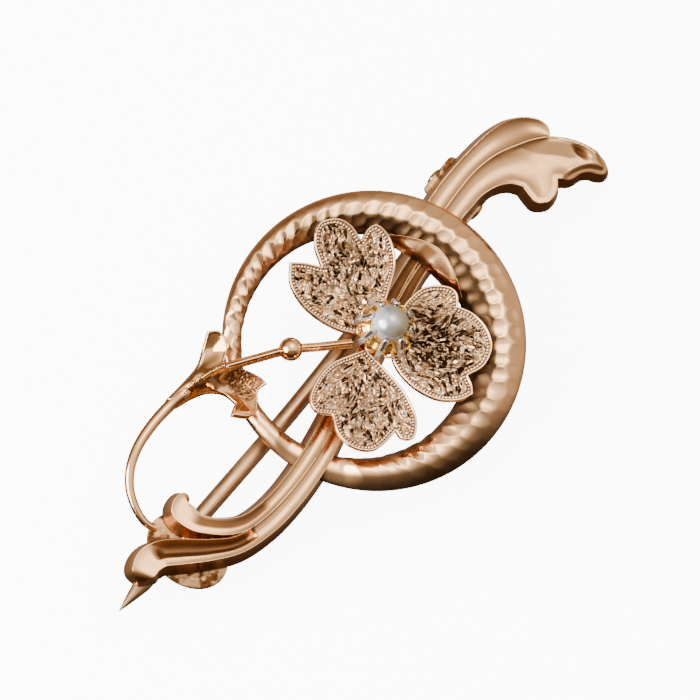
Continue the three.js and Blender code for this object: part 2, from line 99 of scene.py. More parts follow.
def resampled(line, count):
    line = np.asarray(line, float)
    length = np.append(0, np.cumsum(np.linalg.norm(np.diff(line, axis=0), axis=1)))
    at = np.linspace(0, length[-1], count)
    return np.column_stack([np.interp(at, length, line[:, k]) for k in range(line.shape[1])])


def unit(vectors):
    """Each row scaled to a length of 1."""
    return vectors / np.linalg.norm(vectors, axis=1)[:, None]


def line_length(line):
    return float(np.linalg.norm(np.diff(line, axis=0), axis=1).sum())


def closed_outline(stretches, spacing):
    """A closed outline from smooth stretches that meet at corners, with points about spacing apart."""
    rows = []
    for stretch in stretches:
        curve = spline(stretch, 200)
        rows.append(resampled(curve, max(3, int(line_length(curve) / spacing) + 1))[:-1])
    return np.vstack(rows)


def smoothstep(low, high, value):
    u = np.clip((value - low) / (high - low), 0, 1)
    return u * u * (3 - 2 * u)


def distance_to(points, line, closed=False):
    """Distance from each 2-D point to a polyline, and how far along the line the nearest place is."""
    points = np.asarray(points, float)[:, :2]
    line = np.asarray(line, float)[:, :2]
    ends = np.vstack([line[1:], line[:1]]) if closed else line[1:]
    starts = line if closed else line[:-1]
    along = np.append(0, np.cumsum(np.linalg.norm(ends - starts, axis=1)))
    best = np.full(len(points), np.inf)
    place = np.zeros(len(points))
    for k, (a, b) in enumerate(zip(starts, ends)):
        edge = b - a
        size = max(edge @ edge, 1e-12)
        t = np.clip((points - a) @ edge / size, 0, 1)
        gap = np.linalg.norm(points - a - t[:, None] * edge, axis=1)
        near = gap < best
        best[near] = gap[near]
        place[near] = along[k] + t[near] * math.sqrt(size)
    return best, place


def to_line(points, line, closed=False):
    return distance_to(points, line, closed)[0]


def inside(points, outline):
    """Which 2-D points lie inside a closed outline."""
    x, y = points[:, 0], points[:, 1]
    result = np.zeros(len(points), bool)
    for (x1, y1), (x2, y2) in zip(outline, np.roll(outline, -1, axis=0)):
        if y1 != y2:
            crosses = (y1 > y) != (y2 > y)
            result ^= crosses & (x < (x2 - x1) * (y - y1) / (y2 - y1) + x1)
    return result


# ---- meshes --------------------------------------------------------------------------------------
def make_object(name, points, faces, material, recess=None):
    """A smooth mesh object from points in the drawing's millimetres."""
    mesh = bpy.data.meshes.new(name)
    mesh.from_pydata(((np.asarray(points) + ORIGIN) * MM).tolist(), [], faces)
    mesh.polygons.foreach_set("use_smooth", [True] * len(mesh.polygons))
    layer = mesh.attributes.new("recess", "FLOAT", "POINT")
    if recess is not None:
        layer.data.foreach_set("value", np.asarray(recess, float))
    mesh.materials.append(material)
    mesh.update()
    piece = bpy.data.objects.new(name, mesh)
    bpy.context.scene.collection.objects.link(piece)
    make_outward(piece)
    return piece


def make_outward(piece):
    """Turns all faces round if the closed mesh was built inside out."""
    mesh = piece.data
    mesh.calc_loop_triangles()
    corners = np.empty(len(mesh.vertices) * 3)
    mesh.vertices.foreach_get("co", corners)
    corners = corners.reshape(-1, 3)
    index = np.empty(len(mesh.loop_triangles) * 3, int)
    mesh.loop_triangles.foreach_get("vertices", index)
    a, b, c = (corners[index.reshape(-1, 3)[:, k]] for k in range(3))
    if np.einsum("ij,ij->i", a, np.cross(b, c)).sum() < 0:
        mesh.flip_normals()


def loft_faces(rows, size, closed_rows):
    faces = []
    for row in range(rows if closed_rows else rows - 1):
        here, there = row * size, ((row + 1) % rows) * size
        for k in range(size):
            k1 = (k + 1) % size
            faces.append((here + k, here + k1, there + k1, there + k))
    if not closed_rows:
        faces.append(tuple(reversed(range(size))))
        faces.append(tuple((rows - 1) * size + k for k in range(size)))
    return faces


def loft(name, rings, material, closed_rows=False, recess=None):
    """An object skinned over rings of points: an array of shape (rows, points in a ring, 3)."""
    rings = np.asarray(rings, float)
    rows, size, _ = rings.shape
    return make_object(name, rings.reshape(-1, 3), loft_faces(rows, size, closed_rows), material, recess)


def sweep(line, section, side=None):
    """Rings across a 3-D line. section(u) gives (sideways, upwards) pairs for u from 0 to 1."""
    line = np.asarray(line, float)
    tangent = unit(np.gradient(line, axis=0))
    if side is None:
        across = np.column_stack([tangent[:, 1], -tangent[:, 0], np.zeros(len(line))])
    else:
        across = np.tile(np.asarray(side, float), (len(line), 1))
    across = unit(across)
    up = np.cross(tangent, across)
    up *= np.where(up[:, 2:3] < 0, -1, 1) if side is None else 1
    rings = []
    for k, u in enumerate(np.linspace(0, 1, len(line))):
        pairs = np.asarray(section(u))
        rings.append(line[k] + pairs[:, :1] * across[k] + pairs[:, 1:] * up[k])
    return np.array(rings)


def circle(radius, count):
    angle = np.linspace(0, 2 * math.pi, count, endpoint=False)
    return np.column_stack([radius * np.cos(angle), radius * np.sin(angle)])


def turned(name, profile, centre, axis, material, count=64):
    """A solid of revolution: profile is a list of (radius, height) from axis to axis, or closed."""
    profile = np.asarray(profile, float)
    angle = np.linspace(0, 2 * math.pi, count, endpoint=False)
    rings = np.array([np.column_stack([r * np.cos(angle), r * np.sin(angle), np.full(count, h)])
                      for r, h in profile])
    turn = np.array(Vector((0, 0, 1)).rotation_difference(Vector(axis)).to_matrix())
    rings = rings @ turn.T + np.asarray(centre)
    closed = np.allclose(profile[0], profile[-1])
    if closed:
        rings = rings[:-1]
    return loft(name, rings, material, closed_rows=closed)


def joined(name, pieces):
    """Boolean union of closed pieces into the first, which takes the name."""
    target = pieces[0]
    for other in pieces[1:]:
        modifier = target.modifiers.new("join", "BOOLEAN")
        modifier.operation = "UNION"
        modifier.solver = "EXACT"
        modifier.object = other
        apply_modifiers(target)
        bpy.data.objects.remove(other)
    target.name = name
    target.data.name = name
    return target


def apply_modifiers(piece):
    bpy.context.view_layer.update()
    graph = bpy.context.evaluated_depsgraph_get()
    mesh = bpy.data.meshes.new_from_object(piece.evaluated_get(graph))
    piece.modifiers.clear()
    piece.data = mesh


def sharpen(piece, degrees):
    """Marks edges sharper than an angle, so that flat faces stay flat beside their rounded edges."""
    piece.data.set_sharp_from_angle(angle=math.radians(degrees))


GRID_MARGIN = 0.6         # of the spacing, kept clear along the edge
BACK_MARGIN = 3           # the same for the plain back
BACK_THINNING = 23        # the back has one grid point for this many in front


def inner_grid(outline, spacing):
    """Points of a triangular grid inside an outline, and their distances from it."""
    low, high = outline.min(0), outline.max(0)
    rows = []
    for k, y in enumerate(np.arange(low[1], high[1], spacing * math.sqrt(3) / 2)):
        x = np.arange(low[0] + (k % 2) * spacing / 2, high[0], spacing)
        rows.append(np.column_stack([x, np.full(len(x), y)]))
    grid = np.vstack(rows)
    grid = grid[inside(grid, outline)]
    gap = to_line(grid, outline, closed=True)
    clear = gap > GRID_MARGIN * spacing
    return grid[clear], gap[clear]


def triangulated(flat, edges, kind=1):
    """Triangles over flat points, bounded by edges. Kind 1 keeps what's inside them, 2 leaves holes out."""
    result = delaunay_2d_cdt([Vector(p) for p in flat], edges, [], kind, 1e-7)
    order = [ids[0] if ids else -1 for ids in result[3]]
    triangles = [tuple(int(order[v]) for v in face) for face in result[2]]
    return [t for t in triangles if -1 not in t]


def relief(name, outline, front, back, material, spacing, wall, recess, wall_recess=0.0):
    """A plate with a modelled front: front(points, depth) gives the height of each point inside the outline
    from its distance to the edge, back(points) that of the back face, and wall is a list of (share of the
    height, outward shift) between them. recess works like front and fills the shader's recess attribute with
    painted shade, and wall_recess gives that value on the walls."""
    if signed_area(outline) < 0:
        outline = outline[::-1]
    grid, gap = inner_grid(outline, spacing)
    count = len(outline)
    edges = [(k, (k + 1) % count) for k in range(count)]
    outward = edge_normals(outline)
    flat = np.vstack([outline, grid])
    depth = np.append(np.zeros(count), gap)
    front_points = np.column_stack([flat, front(flat, depth)])
    back_flat = np.vstack([outline, grid[gap > BACK_MARGIN * spacing][::BACK_THINNING]])
    back_triangles = triangulated(back_flat, edges)
    back_flat[:count] += outward * wall[-1][1]
    back_points = np.column_stack([back_flat, back(back_flat)])
    points = [front_points, back_points]
    loops = [np.arange(count)]
    for share, shift in wall[:-1]:
        height = front_points[:count, 2] * (1 - share) + back_points[:count, 2] * share
        loops.append(np.arange(count) + sum(len(p) for p in points))
        points.append(np.column_stack([outline + outward * shift, height]))
    loops.append(np.arange(count) + len(flat))
    faces = triangulated(flat, edges)
    faces += [tuple(v + len(flat) for v in reversed(t)) for t in back_triangles]
    for above, below in zip(loops[:-1], loops[1:]):
        faces += [(int(above[a]), int(below[a]), int(below[b]), int(above[b])) for a, b in edges]
    points = np.vstack(points)
    # painted shade over the front and the walls
    painted_shades = np.full(len(points), wall_recess)
    painted_shades[:len(flat)] = recess(flat, depth)
    return make_object(name, points, faces, material, painted_shades)


def edge_normals(outline):
    """Outward mitred normals: an outline moved along them keeps its distance from every edge."""
    edge = np.roll(outline, -1, axis=0) - outline
    edge /= np.maximum(np.linalg.norm(edge, axis=1), 1e-9)[:, None]
    after = np.column_stack([edge[:, 1], -edge[:, 0]])
    before = np.roll(after, 1, axis=0)
    normal = (before + after) / np.maximum(1 + (before * after).sum(1), 0.6)[:, None]
    return normal if signed_area(outline) > 0 else -normal


def signed_area(outline):
    x, y = outline[:, 0], outline[:, 1]
    return 0.5 * float(np.sum(x * np.roll(y, -1) - np.roll(x, -1) * y))


def surface_through(control):
    """A smooth height field through (x, y, z) control points: a thin plate."""
    control = np.asarray(control, float)
    at = control[:, :2]

    def kernel(a, b):
        square = ((a[:, None, :] - b[None, :, :]) ** 2).sum(-1)
        return square * np.log(square + 1e-9)

    count = len(at)
    plane = np.column_stack([np.ones(count), at])
    system = np.zeros((count + 3, count + 3))
    system[:count, :count] = kernel(at, at) + 0.02 * np.eye(count)
    system[:count, count:] = plane
    system[count:, :count] = plane.T
    weights = np.linalg.solve(system, np.append(control[:, 2], np.zeros(3)))

    def height(points):
        points = np.asarray(points)[:, :2]
        slope = np.column_stack([np.ones(len(points)), points])
        return kernel(points, at) @ weights[:count] + slope @ weights[count:]

    return height


# ---- materials -----------------------------------------------------------------------------------
def new_material(name):
    material = bpy.data.materials.new(name)
    material.use_nodes = True
    tree = material.node_tree
    return material, tree, tree.nodes["Principled BSDF"]


def feed(tree, socket, value):
    """Links an output to a socket, or sets the socket to a plain value."""
    if isinstance(value, bpy.types.NodeSocket):
        tree.links.new(value, socket)
    else:
        socket.default_value = value


def add_node(tree, kind, **values):
    """A node with its sockets fed and its settings set by name."""
    node = tree.nodes.new(kind)
    for key, value in values.items():
        if key in node.inputs:
            feed(tree, node.inputs[key], value)
        else:
            setattr(node, key, value)
    return node


def arithmetic(tree, operation, *values):
    node = add_node(tree, "ShaderNodeMath", operation=operation)
    for socket, value in zip(node.inputs, values):
        feed(tree, socket, value)
    return node.outputs["Value"]


def mixed(tree, factor, first, second, blend="MIX"):
    """Two colours mixed: of the node's inputs, 6 and 7 are the ones for colours."""
    node = add_node(tree, "ShaderNodeMix", data_type="RGBA", blend_type=blend, Factor=factor)
    feed(tree, node.inputs[6], first)
    feed(tree, node.inputs[7], second)
    return node.outputs[2]


def facing(tree, vector, direction):
    """How far a vector points along a direction."""
    node = add_node(tree, "ShaderNodeVectorMath", operation="DOT_PRODUCT")
    feed(tree, node.inputs[0], vector)
    feed(tree, node.inputs[1], direction)
    return node.outputs["Value"]


def noise(tree, scale, detail=3.0, stretch=None):
    """Noise over the object's own coordinates, in metres; stretch squeezes it along an axis."""
    source = add_node(tree, "ShaderNodeTexCoord").outputs["Object"]
    if stretch:
        source = add_node(tree, "ShaderNodeMapping", Vector=source, Scale=stretch).outputs["Vector"]
    return add_node(tree, "ShaderNodeTexNoise", Scale=scale, Detail=detail, Vector=source).outputs["Fac"]


def bumped(tree, height, strength, distance, normal=None):
    node = add_node(tree, "ShaderNodeBump", Strength=strength, Distance=distance, Height=height)
    if normal:
        feed(tree, node.inputs["Normal"], normal)
    return node.outputs["Normal"]


def ramp(tree, source, stops):
    node = add_node(tree, "ShaderNodeValToRGB", Fac=source)
    elements = node.color_ramp.elements
    while len(elements) < len(stops):
        elements.new(0.5)
    for element, (place, colour) in zip(elements, stops):
        element.position = place
        element.color = (*colour, 1)
    return node.outputs["Color"]


def grey(value):
    return (value, value, value)


RECESS_ROUGHNESS = 0.35    # what a full recess value (the painted shade) adds to the roughness
SCRATCH_DEPTH = 0.000012
PIT_DEPTH = 0.21          # of the pits' own size


def gold(name, colour, dark, roughness, pits=0.0, metallic=1.0, grain=7000, mottle=0.0):
    """Polished gold: slow colour drift, painted shade (a darker colour) where the recess attribute says,
    fine wear scratches.
    """
    material, tree, shader = new_material(name)
    lighter = tuple(min(1.0, c * 1.07) for c in colour)
    deeper = tuple(c * 0.9 for c in colour)
    tint = ramp(tree, noise(tree, 260, 4), [(0.3, deeper), (0.7, lighter)])
    recess = add_node(tree, "ShaderNodeAttribute", attribute_name="recess").outputs["Fac"]
    cloud = ramp(tree, noise(tree, 1300, 3), [(0.42, grey(0.0)), (0.56, grey(mottle))])
    # random mottle together with the painted shade that the recess attribute carries
    mottle_and_painted_shade = arithmetic(tree, "MAXIMUM", cloud, recess)
    wear = noise(tree, 900, 6, stretch=(1.0, 0.25, 1.0))
    worn = ramp(tree, wear, [(0.35, grey(roughness * 0.75)), (0.7, grey(roughness * 1.35))])
    hair = noise(tree, 5200, 4, stretch=(1.0, 0.12, 0.6))
    normal = bumped(tree, hair, 0.35, SCRATCH_DEPTH)
    if pits:
        normal = bumped(tree, noise(tree, grain, 2), pits, PIT_DEPTH / grain, normal)
    feed(tree, shader.inputs["Metallic"], metallic)
    feed(tree, shader.inputs["Base Color"], mixed(tree, mottle_and_painted_shade, tint, (*dark, 1)))
    feed(tree, shader.inputs["Roughness"], arithmetic(tree, "MULTIPLY_ADD", recess, RECESS_ROUGHNESS, worn))
    feed(tree, shader.inputs["Normal"], normal)
    return material


# painted light and shade on the pearl: pale towards this side, khaki away from it, darker towards its
# outline
PEARL_LIT_SIDE = (-0.617, 0.768, -0.171)
PEARL_LIGHT_AND_SHADE = [(0.08, (0.28, 0.21, 0.07)), (0.34, (0.30, 0.27, 0.17)), (0.55, (0.24, 0.24, 0.25)),
               (0.86, (0.80, 0.81, 0.90))]
PEARL_EDGE_SHADE = [(0.0, (1, 1, 1)), (0.5, (0.9, 0.9, 0.82)), (1.0, (0.5, 0.42, 0.28))]


def nacre():
    """Pearl: painted light (pale grey-blue) on one side and painted shade (khaki) on the other, drifting a
    little at random, and painted shade towards its outline, under a lustrous skin, with faint growth
    ripples.
    """
    material, tree, shader = new_material("pearl_nacre")
    normal = add_node(tree, "ShaderNodeTexCoord").outputs["Normal"]
    lit_side = facing(tree, normal, PEARL_LIT_SIDE)
    tint = ramp(tree, arithmetic(tree, "MULTIPLY_ADD", lit_side, 0.5, noise(tree, 420, 3)), PEARL_LIGHT_AND_SHADE)
    turned_away = add_node(tree, "ShaderNodeLayerWeight", Blend=0.4).outputs["Facing"]
    # painted shade towards the pearl's outline
    colour = mixed(tree, 1.0, tint, ramp(tree, turned_away, PEARL_EDGE_SHADE), "MULTIPLY")
    looks = {"Base Color": colour, "Metallic": 0.35, "Roughness": 0.3, "Coat Weight": 1.0,
             "Coat Roughness": 0.18, "Coat IOR": 2.3,
             "Normal": bumped(tree, noise(tree, 1800, 4), 0.2, 0.00002)}
    for socket, value in looks.items():
        feed(tree, shader.inputs[socket], value)
    return material


ROSE = (0.84, 0.46, 0.20)
# BROWN, DEEP_BROWN and BLACK_BROWN are the dark colours of the painted shade on the metals
BROWN = (0.09, 0.032, 0.009)
DEEP_BROWN = (0.022, 0.0085, 0.003)
BLACK_BROWN = (0.03, 0.011, 0.003)
POLISHED = gold("rose_gold_polished", ROSE, BROWN, 0.15)
SATIN = gold("rose_gold_satin", (0.60, 0.315, 0.135), BROWN, 0.22)
DRAWN = gold("rose_gold_drawn", (0.52, 0.295, 0.14), BROWN, 0.38)
MELTED = gold("rose_gold_melted", (0.72, 0.39, 0.17), BROWN, 0.2, pits=1.0, grain=1200, mottle=1.0)
HAMMERED = gold("rose_gold_hammered", (0.86, 0.47, 0.215), DEEP_BROWN, 0.24, pits=0.08)
ENGRAVED = gold("rose_gold_engraved", (0.94, 0.59, 0.33), BLACK_BROWN, 0.15, pits=0.12)
YELLOW = gold("yellow_gold", (0.86, 0.50, 0.13), (0.2, 0.08, 0.015), 0.18)
PALE = gold("pale_gold", (0.84, 0.83, 0.84), (0.06, 0.05, 0.065), 0.2, metallic=0.85)
NACRE = nacre()


# ---- crescent ring -------------------------------------------------------------------------------
RING_INNER_CENTRE = np.array([-0.35, 1.4])
RING_INNER_RADIUS = 7.6
RING_BACK_Z = RING_LOW[2]
RING_DEPTH_RATIO = 0.45
RING_STATIONS = 900
RING_SIDES = 84
HAMMER_PITCH = 1.07
HAMMER_ROWS = ((50, 0.16), (86, 0.75), (121, 1.0), (153, 0.7))   # degrees from the outside, share of depth
HAMMER_SIZE = 0.6
HAMMER_DEPTH = 0.11                     # of a mark on the thin side of the ring
HAMMER_DEEPER = 0.05                    # what the thick side adds to it
HAMMER_BLEND = 7                        # the higher, the sharper the ridges between the marks
HAMMER_WANDER = 0.17                    # how far a mark strays along its row, in pitches
HAMMER_SWAY = 0.1                       # and across it, in radians
HAMMER_LONG_AT = math.radians(-125)     # the marks are longest across the tube here
HAMMER_WORN_AT = math.radians(196)      # and worn away here, where the bar crosses over the tube
HAMMER_WIDE_AT = math.radians(-23)      # the outer row is as strong as the others about this side
HAMMER_WIDE_SHARE = 0.6
CRESCENT_AT = math.radians(88)          # one end of each mark gets a painted shadow about this side
CRESCENT_ROW = 1
ROWS_LEAN = math.radians(12)            # how far the rows lean inwards on the thick side
DARK_SLOPE_AT = math.radians(-12)       # the inner slope gets painted shade about this side
SHADED_AT = math.radians(-135)          # the outer slope gets painted shade here
CROSSING_DIP = 0.5                      # share of its height that the tube loses under the bar


def ring_sections(around):
    """Middles, outward directions and half widths of the tube at angles round the ring."""
    ray = np.column_stack([np.cos(around), np.sin(around)])
    outer = RING_OUTER_CENTRE + RING_OUTER_RADIUS * ray
    inner = RING_INNER_CENTRE + RING_INNER_RADIUS * ray
    width = np.linalg.norm(outer - inner, axis=1)
    return (outer + inner) / 2, (outer - inner) / width[:, None], width / 2


def toward(around, angle, low, high):
    """1 where an angle round the ring faces the given one, falling to 0 away from it."""
    return smoothstep(low, high, np.cos(around - angle))


def hammer_marks(total):
    """Rows of place along the ring, angle round the tube, size, share of the depth, and whether the mark
    belongs to the row whose marks get a painted shadow at one end."""
    chosen = np.random.default_rng(11)
    count = int(total / HAMMER_PITCH)
    marks = []
    for row, (angle, share) in enumerate(HAMMER_ROWS):
        for k in range(count):
            place = (k + 0.5 * (row % 2) + chosen.uniform(-HAMMER_WANDER, HAMMER_WANDER)) * total / count
            turn = math.radians(angle) + chosen.uniform(-HAMMER_SWAY, HAMMER_SWAY)
            marks.append((place, turn, chosen.uniform(0.84, 1.15), share, row == CRESCENT_ROW))
    marks = np.array(marks)
    outer_row = marks[:count]
    wide = toward(outer_row[:, 0] * 2 * math.pi / total, HAMMER_WIDE_AT, 0.6, 0.88)
    outer_row[:, 3] += HAMMER_WIDE_SHARE * wide
    return marks


def ring_painted_shade(at, lean, section, scoop, crescent):
    """Painted shade round the tube at one angle round the ring: on its inner slope with the marks' scalloped
    edge, on its underside and on its outer side where the ring is shaded, and painted shadow at one end of
    each mark."""
    top, inward = np.sin(section), -np.cos(section)
    slope = smoothstep(0.02, 0.16, inward - math.sin(lean) + 0.22 * (0.5 - scoop)) * (1 - 0.22 * scoop)
    slope *= toward(at, DARK_SLOPE_AT, -0.15, 0.35)
    inner = np.maximum(0.97 * slope, 0.75 * smoothstep(0.6, 0.95, inward))
    below = 0.3 * smoothstep(0.1, -0.6, top)
    outer = 0.86 * smoothstep(-0.1, 0.4, -inward) * toward(at, SHADED_AT, 0.4, 0.82)
    return np.clip(inner + below + outer + 0.88 * crescent, 0, 1)


def crescent_ring():
    """Tube with a smooth outer band; its top and inner slope are hammered in rows of soft scoops, with
    painted shade and shadow in its colour.
    """
    around = np.linspace(0, 2 * math.pi, RING_STATIONS, endpoint=False)
    section = np.linspace(0, 2 * math.pi, RING_SIDES, endpoint=False)
    middle, outward, half = ring_sections(around)
    total = math.pi * (RING_OUTER_RADIUS + RING_INNER_RADIUS)
    marks = hammer_marks(total)
    rings = np.empty((RING_STATIONS, RING_SIDES, 3))
    recess = np.zeros((RING_STATIONS, RING_SIDES))
    top = np.sin(section)
    for k in range(RING_STATIONS):
        radius, at = half[k], around[k]
        along = (marks[:, 0] - at * total / (2 * math.pi) + total / 2) % total - total / 2
        close = np.abs(along) < 1.5 * HAMMER_PITCH
        along, (turn, size, share, has_crescent) = along[close], marks[close, 1:].T
        lean = ROWS_LEAN * math.cos(at)
        reach = (section[:, None] - turn - lean + math.pi) % (2 * math.pi) - math.pi
        across = reach * max(0.95 * radius, 0.7) / (1 + 0.7 * toward(at, HAMMER_LONG_AT, 0.3, 0.9))
        gap = np.hypot(along, across) / (HAMMER_SIZE * size)
        scoops = (np.clip(1 - gap**2, 0, 1) * share) ** HAMMER_BLEND
        scoop = scoops.sum(axis=1) ** (1 / HAMMER_BLEND)
        fresh = 1 - 0.85 * toward(at, HAMMER_WORN_AT, 0.75, 0.95)
        depth = scoop * fresh * (HAMMER_DEPTH + HAMMER_DEEPER * smoothstep(0.5, 1.3, radius))
        high = radius * RING_DEPTH_RATIO * 2
        dip = CROSSING_DIP * toward(at, HAMMER_WORN_AT, 0.94, 0.982) * (top > 0)
        rings[k, :, :2] = middle[k] + outward[k] * (np.cos(section) * (radius - depth))[:, None]
        rings[k, :, 2] = RING_BACK_Z + high + top * (high - depth) * (1 - dip)
        nearest = gap.argmin(axis=1)
        # painted shadow at one end of each mark
        crescent = smoothstep(1.0, 0.75, gap.min(axis=1)) * smoothstep(0.02, 0.2, along[nearest])
        crescent *= has_crescent[nearest] * toward(at, CRESCENT_AT, 0.68, 0.88)
        # painted shade and shadow round the tube
        recess[k] = ring_painted_shade(at, lean, section, scoop, crescent)
    return loft("hammered_crescent_ring", rings, HAMMERED, closed_rows=True, recess=recess.ravel())


# ---- bar and leaf --------------------------------------------------------------------------------
LOBE_STRAND = [
    (-22.35, 2.35, 0.45), (-21.8, 2.6, 0.8), (-20.9, 2.8, 0.95), (-19.95, 2.45, 0.92), (-19.1, 1.65, 0.9),
    (-17.7, 0.2, 0.76), (-16.05, -1.1, 0.62), (-13.65, -1.78, 0.6), (-11.57, -1.95, 0.58),
    (-9.5, -1.9, 0.55), (-7.42, -1.68, 0.51), (-5.5, -1.25, 0.47), (4, 0.92, 0.45), (6.5, 1.37, 0.45),
    (8.25, 1.42, 0.45),
]
CURL_STRAND = [
    (-15.65, 3.35, 0.15), (-16.1, 3.65, 0.5), (-16.7, 3.3, 0.8), (-16.84, 2.25, 0.68), (-16.4, 1.25, 0.6),
    (-15.57, 0.2, 0.6), (-14.7, -0.45, 0.55), (-13.4, -0.82, 0.5), (-11.57, -1.02, 0.49),
    (-9.5, -0.97, 0.51), (-7.42, -0.74, 0.53), (-5.5, -0.4, 0.53), (4, 1.63, 0.48), (6.5, 1.98, 0.48),
    (8.25, 2.03, 0.52),
]
WALL_FLARE = 0.35
WALL_FOOT = 0.05
CHANNEL_DEPTH = 0.16
RIM = 0.055


def plain(s, v):
    return 0 * v


def strand(name, points, depth_at, cap, shade_at=plain, stations=300):
    """A bar with flared half-round walls, narrow rims and a hollow channel. depth_at(s, v) is the channel's
    depth at s millimetres from the start and v (-1 to 1) across, the darkness function of (s, v) the painted
    shade of the channel there, and cap the length of the rounded start. The walls get painted shade, darker
    towards their foot."""
    line = spline(points, stations)
    flat = line[:, :2]
    tangent = unit(np.gradient(flat, axis=0))
    across = np.column_stack([tangent[:, 1], -tangent[:, 0]])
    gone = np.append(0, np.cumsum(np.linalg.norm(np.diff(flat, axis=0), axis=1)))
    height = EDGE_Z - BACK_Z
    u = np.linspace(0, 1, 10)
    v = np.linspace(1, -1, 41)[1:-1]
    bend = np.linspace(0, math.pi / 2, 5)[1:]
    rings, painted_shades = [], []
    for k in range(stations):
        half, s = line[k, 2], gone[k]
        wall = np.column_stack([half + WALL_FLARE * (1 - u) ** 1.6,
                                BACK_Z + WALL_FOOT + (height - WALL_FOOT - RIM) * u])
        rim = np.column_stack([half - RIM * (1 - np.cos(bend)), EDGE_Z - RIM + RIM * np.sin(bend)])
        channel = np.column_stack([v * (half - RIM), EDGE_Z - depth_at(s, v) * min(1, half / 0.4)])
        side = np.vstack([[half + WALL_FLARE - 0.08, BACK_Z], wall, rim])
        profile = np.vstack([side, channel, side[::-1] * (-1, 1)])
        shrink = math.sqrt(max(1 - (1 - s / cap) ** 2, 0.02)) if s < cap else 1.0
        profile[:, 0] *= shrink
        profile[:, 1] = BACK_Z + (profile[:, 1] - BACK_Z) * (0.35 + 0.65 * shrink)
        rings.append(np.column_stack([flat[k] + across[k] * profile[:, :1], profile[:, 1]]))
        # painted shade on the walls, darker towards their foot
        wall_painted_shade = 0.3 * (1 - smoothstep(0.0, 1.0, (side[:, 1] - BACK_Z) / height)) + 0.05
        painted_shades.append(np.concatenate([wall_painted_shade, shade_at(s, v), wall_painted_shade[::-1]]))
    return loft(name, rings, SATIN, recess=np.concatenate(painted_shades))


LOBE_LENGTH = line_length(spline([p[:2] for p in LOBE_STRAND], 300))
LOBE_DARK_FROM = LOBE_LENGTH - 6.5      # the channel gets painted shade from here to the collar


def lobe_depth(s, v):
    """Nearly flat at the nose, then a deep hollow along the upper side that runs out into the channel."""
    nose = smoothstep(1.9, 3.0, s)
    hollow = nose * (1 - smoothstep(8.6, 9.3, s))
    channel = (0.05 + (CHANNEL_DEPTH - 0.05) * nose) * (1 - v**2)
    return channel + hollow * 0.62 * (1 - np.clip(np.abs((v + 0.3) / 0.68), 0, 1) ** 2.6)


# painted shade in the hollow along the upper side and along the channel's far end
def lobe_painted_shade(s, v):
    hollow = smoothstep(2.1, 3.2, s) * (1 - smoothstep(8.5, 9.3, s))
    far = 0.96 * smoothstep(LOBE_DARK_FROM, LOBE_DARK_FROM + 1.5, s)
    return np.maximum(0.88 * hollow * (1 - smoothstep(0.35, 0.75, np.abs(v + 0.3))), far * (1 - v**8))


def curl_depth(s, v):
    return (0.06 + (CHANNEL_DEPTH - 0.06) * smoothstep(3.2, 6.5, s)) * (1 - v**2)


COLLAR_FROM, COLLAR_TO = math.radians(-26), math.radians(27)
COLLAR_CENTRE = math.radians(3)
COLLAR_CREST = math.radians(126)        # the collar starts here, round the tube from its outer side
COLLAR_FOOT = math.radians(215)
COLLAR_SUNK = -0.18                     # its underside, below the tube's skin


def bar_collar():
    """The bar's fishtail end, which climbs the ring's inner slope, with painted shade in the valley between
    its wings.
    """
    around = np.linspace(COLLAR_FROM, COLLAR_TO, 90)
    middle, outward, half = ring_sections(around)
    rings, painted_shades = [], []
    for k, at in enumerate(around):
        share = 2 * (at - COLLAR_FROM) / (COLLAR_TO - COLLAR_FROM) - 1
        full = np.clip(1 - share**2, 0, 1) ** 0.5
        start = COLLAR_CREST + math.radians(36) * abs(share) ** 1.5
        section = np.linspace(start, COLLAR_FOOT, 40)
        fade = smoothstep(0, 0.4, (section - start) / (COLLAR_FOOT - start))
        valley = math.exp(-((at - COLLAR_CENTRE) / 0.075) ** 2)
        thick = (0.1 + 0.42 * smoothstep(1.9, 3.2, section)) * full * fade - 0.09 * valley * fade
        high = half[k] * RING_DEPTH_RATIO * 2
        points = []
        for angle, lift in list(zip(section, thick)) + [(a, COLLAR_SUNK) for a in section[::-3]]:
            reach = middle[k] + outward[k] * math.cos(angle) * (half[k] + lift)
            points.append([*reach, RING_BACK_Z + high + math.sin(angle) * (high + lift)])
        rings.append(points)
        # painted shade in the valley between the collar's two wings
        cell = 0.9 * math.exp(-((at - COLLAR_CENTRE) / 0.08) ** 6) * smoothstep(2.25, 2.4, section)
        painted_shades.append(np.append(cell, np.zeros(len(points) - len(section))))
    return loft("scroll_bar_collar", rings, SATIN, recess=np.concatenate(painted_shades))


def scroll_bar():
    lobe = strand("scroll_bar_lobe", LOBE_STRAND, lobe_depth, 0.7, lobe_painted_shade)
    curl = strand("scroll_bar_curl", CURL_STRAND, curl_depth, 0.5)
    return joined("scroll_bar_gold", [lobe, curl])


LEAF_STEP = 0.09          # between points along the leaf's edge
LEAF_GRID = 0.08          # and over its face
LEAF_OUTLINE = [
    [(10.4, 3.9), (12.5, 4.05), (14.9, 3.97), (17.1, 3.7), (18.5, 3.2), (19.36, 2.48), (19.83, 1.64),
     (19.84, 0.93), (19.44, 0.4)],
    [(19.44, 0.4), (20.1, -0.57), (20.58, -1.79), (20.72, -2.8), (20.6, -3.5), (20.3, -3.95), (19.9, -4.0),
     (19.6, -3.65), (19.4, -3.2), (18.95, -2.8), (18.1, -2.5), (17.5, -1.8)],
    [(17.5, -1.8), (16.85, -2.28), (15.9, -2.36), (15.27, -1.75), (15.33, -1.17), (15.52, -0.41)],
    [(15.52, -0.41), (15.17, 0.32), (14.45, 0.92), (13.2, 1.35), (12, 1.4), (10.4, 1.4)],
    [(10.4, 1.4), (10.4, 2.6), (10.4, 3.9)],
]
